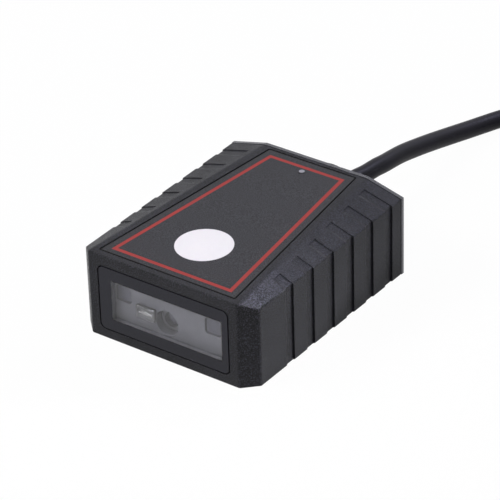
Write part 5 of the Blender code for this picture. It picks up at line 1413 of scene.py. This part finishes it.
@dataclass
class Studio:
    """Floor, world, soft lights and camera."""

    floor_size: float = 3.0
    # The paper lies a hair below the reader, so that the two never share a plane.
    floor_drop: float = 0.0001
    ambient: float = 0.17
    camera_place: Triple = (0.31277, -0.41559, 0.33048)
    camera_aim: Triple = (0.0, 0.0, 0.010)
    camera_roll_degrees: float = -1.85
    camera_near: float = 0.01
    lens_mm: float = 216.0
    sensor_mm: float = 36.0
    shift: Pair = (0.01354, 0.0164)
    lights: tuple[SoftBox, ...] = (
        # From the right, on the ribbed side alone: its narrow spread keeps it off the top and the front.
        SoftBox(LightRole.KEY, (0.58, 0.42, 0.22), (0.03, -0.035, 0.01), 0.1, 0.1, 1.0, spread=8.0),
        # From the front left, above: the main light on the top, the front and the left slant.
        SoftBox(LightRole.FILL, (-0.44, -0.40, 0.53), (0.0, -0.01, 0.01), 0.4, 0.3, 15.5),
        # From behind, above, faint and cool.
        SoftBox(LightRole.RIM, (0.10, 0.55, 0.60), (0.0, 0.0, 0.01), 0.5, 0.4, 0.6, "#E8ECFF"),
        # Small and strong, where the front of the right slant mirrors it, so that its specks sparkle.
        SoftBox(LightRole.KICKER, (0.120, 0.530, 0.588), (0.017, -0.02, 0.017), 0.14, 0.10, 56.0, "#DCDCFF"),
    )

    def build_floor(self) -> bpy.types.Object:
        """Lays the white paper.

        Returns:
            The floor.
        """
        start_piece()
        bpy.ops.mesh.primitive_plane_add(size=self.floor_size)
        floor = bpy.context.object
        floor.name = "studio_floor"
        bpy.ops.transform.translate(value=(0.0, 0.0, -self.floor_drop))
        apply_place()
        Finishes.FLOOR.cover(floor)
        return floor

    def build_world(self) -> None:
        """Makes the surroundings white to the camera and in reflections, and much dimmer as a light."""
        world = bpy.data.worlds.new("studio_world")
        world.use_nodes = True
        tree = world.node_tree
        tree.nodes.clear()
        strength = add_node(tree, "MapRange", {0: share_seen(tree), RANGE_LOW: self.ambient, RANGE_HIGH: 1.0})
        light = add_node(tree, "Background", {"Color": (1.0, 1.0, 1.0, 1.0), "Strength": strength})
        add_node(tree, "OutputWorld", {"Surface": light})
        bpy.context.scene.world = world

    def build_camera(self) -> bpy.types.Object:
        """Sets the camera at the photograph's angle.

        Returns:
            The camera.
        """
        data = bpy.data.cameras.new("camera")
        data.lens = self.lens_mm
        data.sensor_width = self.sensor_mm
        data.shift_x, data.shift_y = self.shift
        data.clip_start = self.camera_near
        camera = bpy.data.objects.new("camera", data)
        place = Vector(self.camera_place)
        camera.location = place
        camera.rotation_mode = "QUATERNION"
        turn = (Vector(self.camera_aim) - place).to_track_quat("-Z", "Y")
        camera.rotation_quaternion = turn @ Quaternion(UP, math.radians(self.camera_roll_degrees))
        bpy.context.scene.collection.objects.link(camera)
        bpy.context.scene.camera = camera
        return camera

    def build(self) -> None:
        """Builds the studio."""
        self.build_camera()
        self.build_floor()
        self.build_world()
        for light in self.lights:
            light.build()
        bpy.context.scene.view_settings.view_transform = "Standard"


# The whole scene


def main() -> None:
    """Builds the studio, the lead and every sub-assembly in order."""
    logging.basicConfig(level=logging.INFO, format="%(message)s")
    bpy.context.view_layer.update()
    Studio().build()
    LOG.info("studio built")
    for group in (Lead(), Housing(), ScanWindow(), TopLabel(), ScanEngine(), Electronics()):
        pieces = group.build()
        LOG.info("%s: %s", type(group).__name__, ", ".join(p.name for p in pieces) or "nodes dressed")


if __name__ == "__main__":
    main()
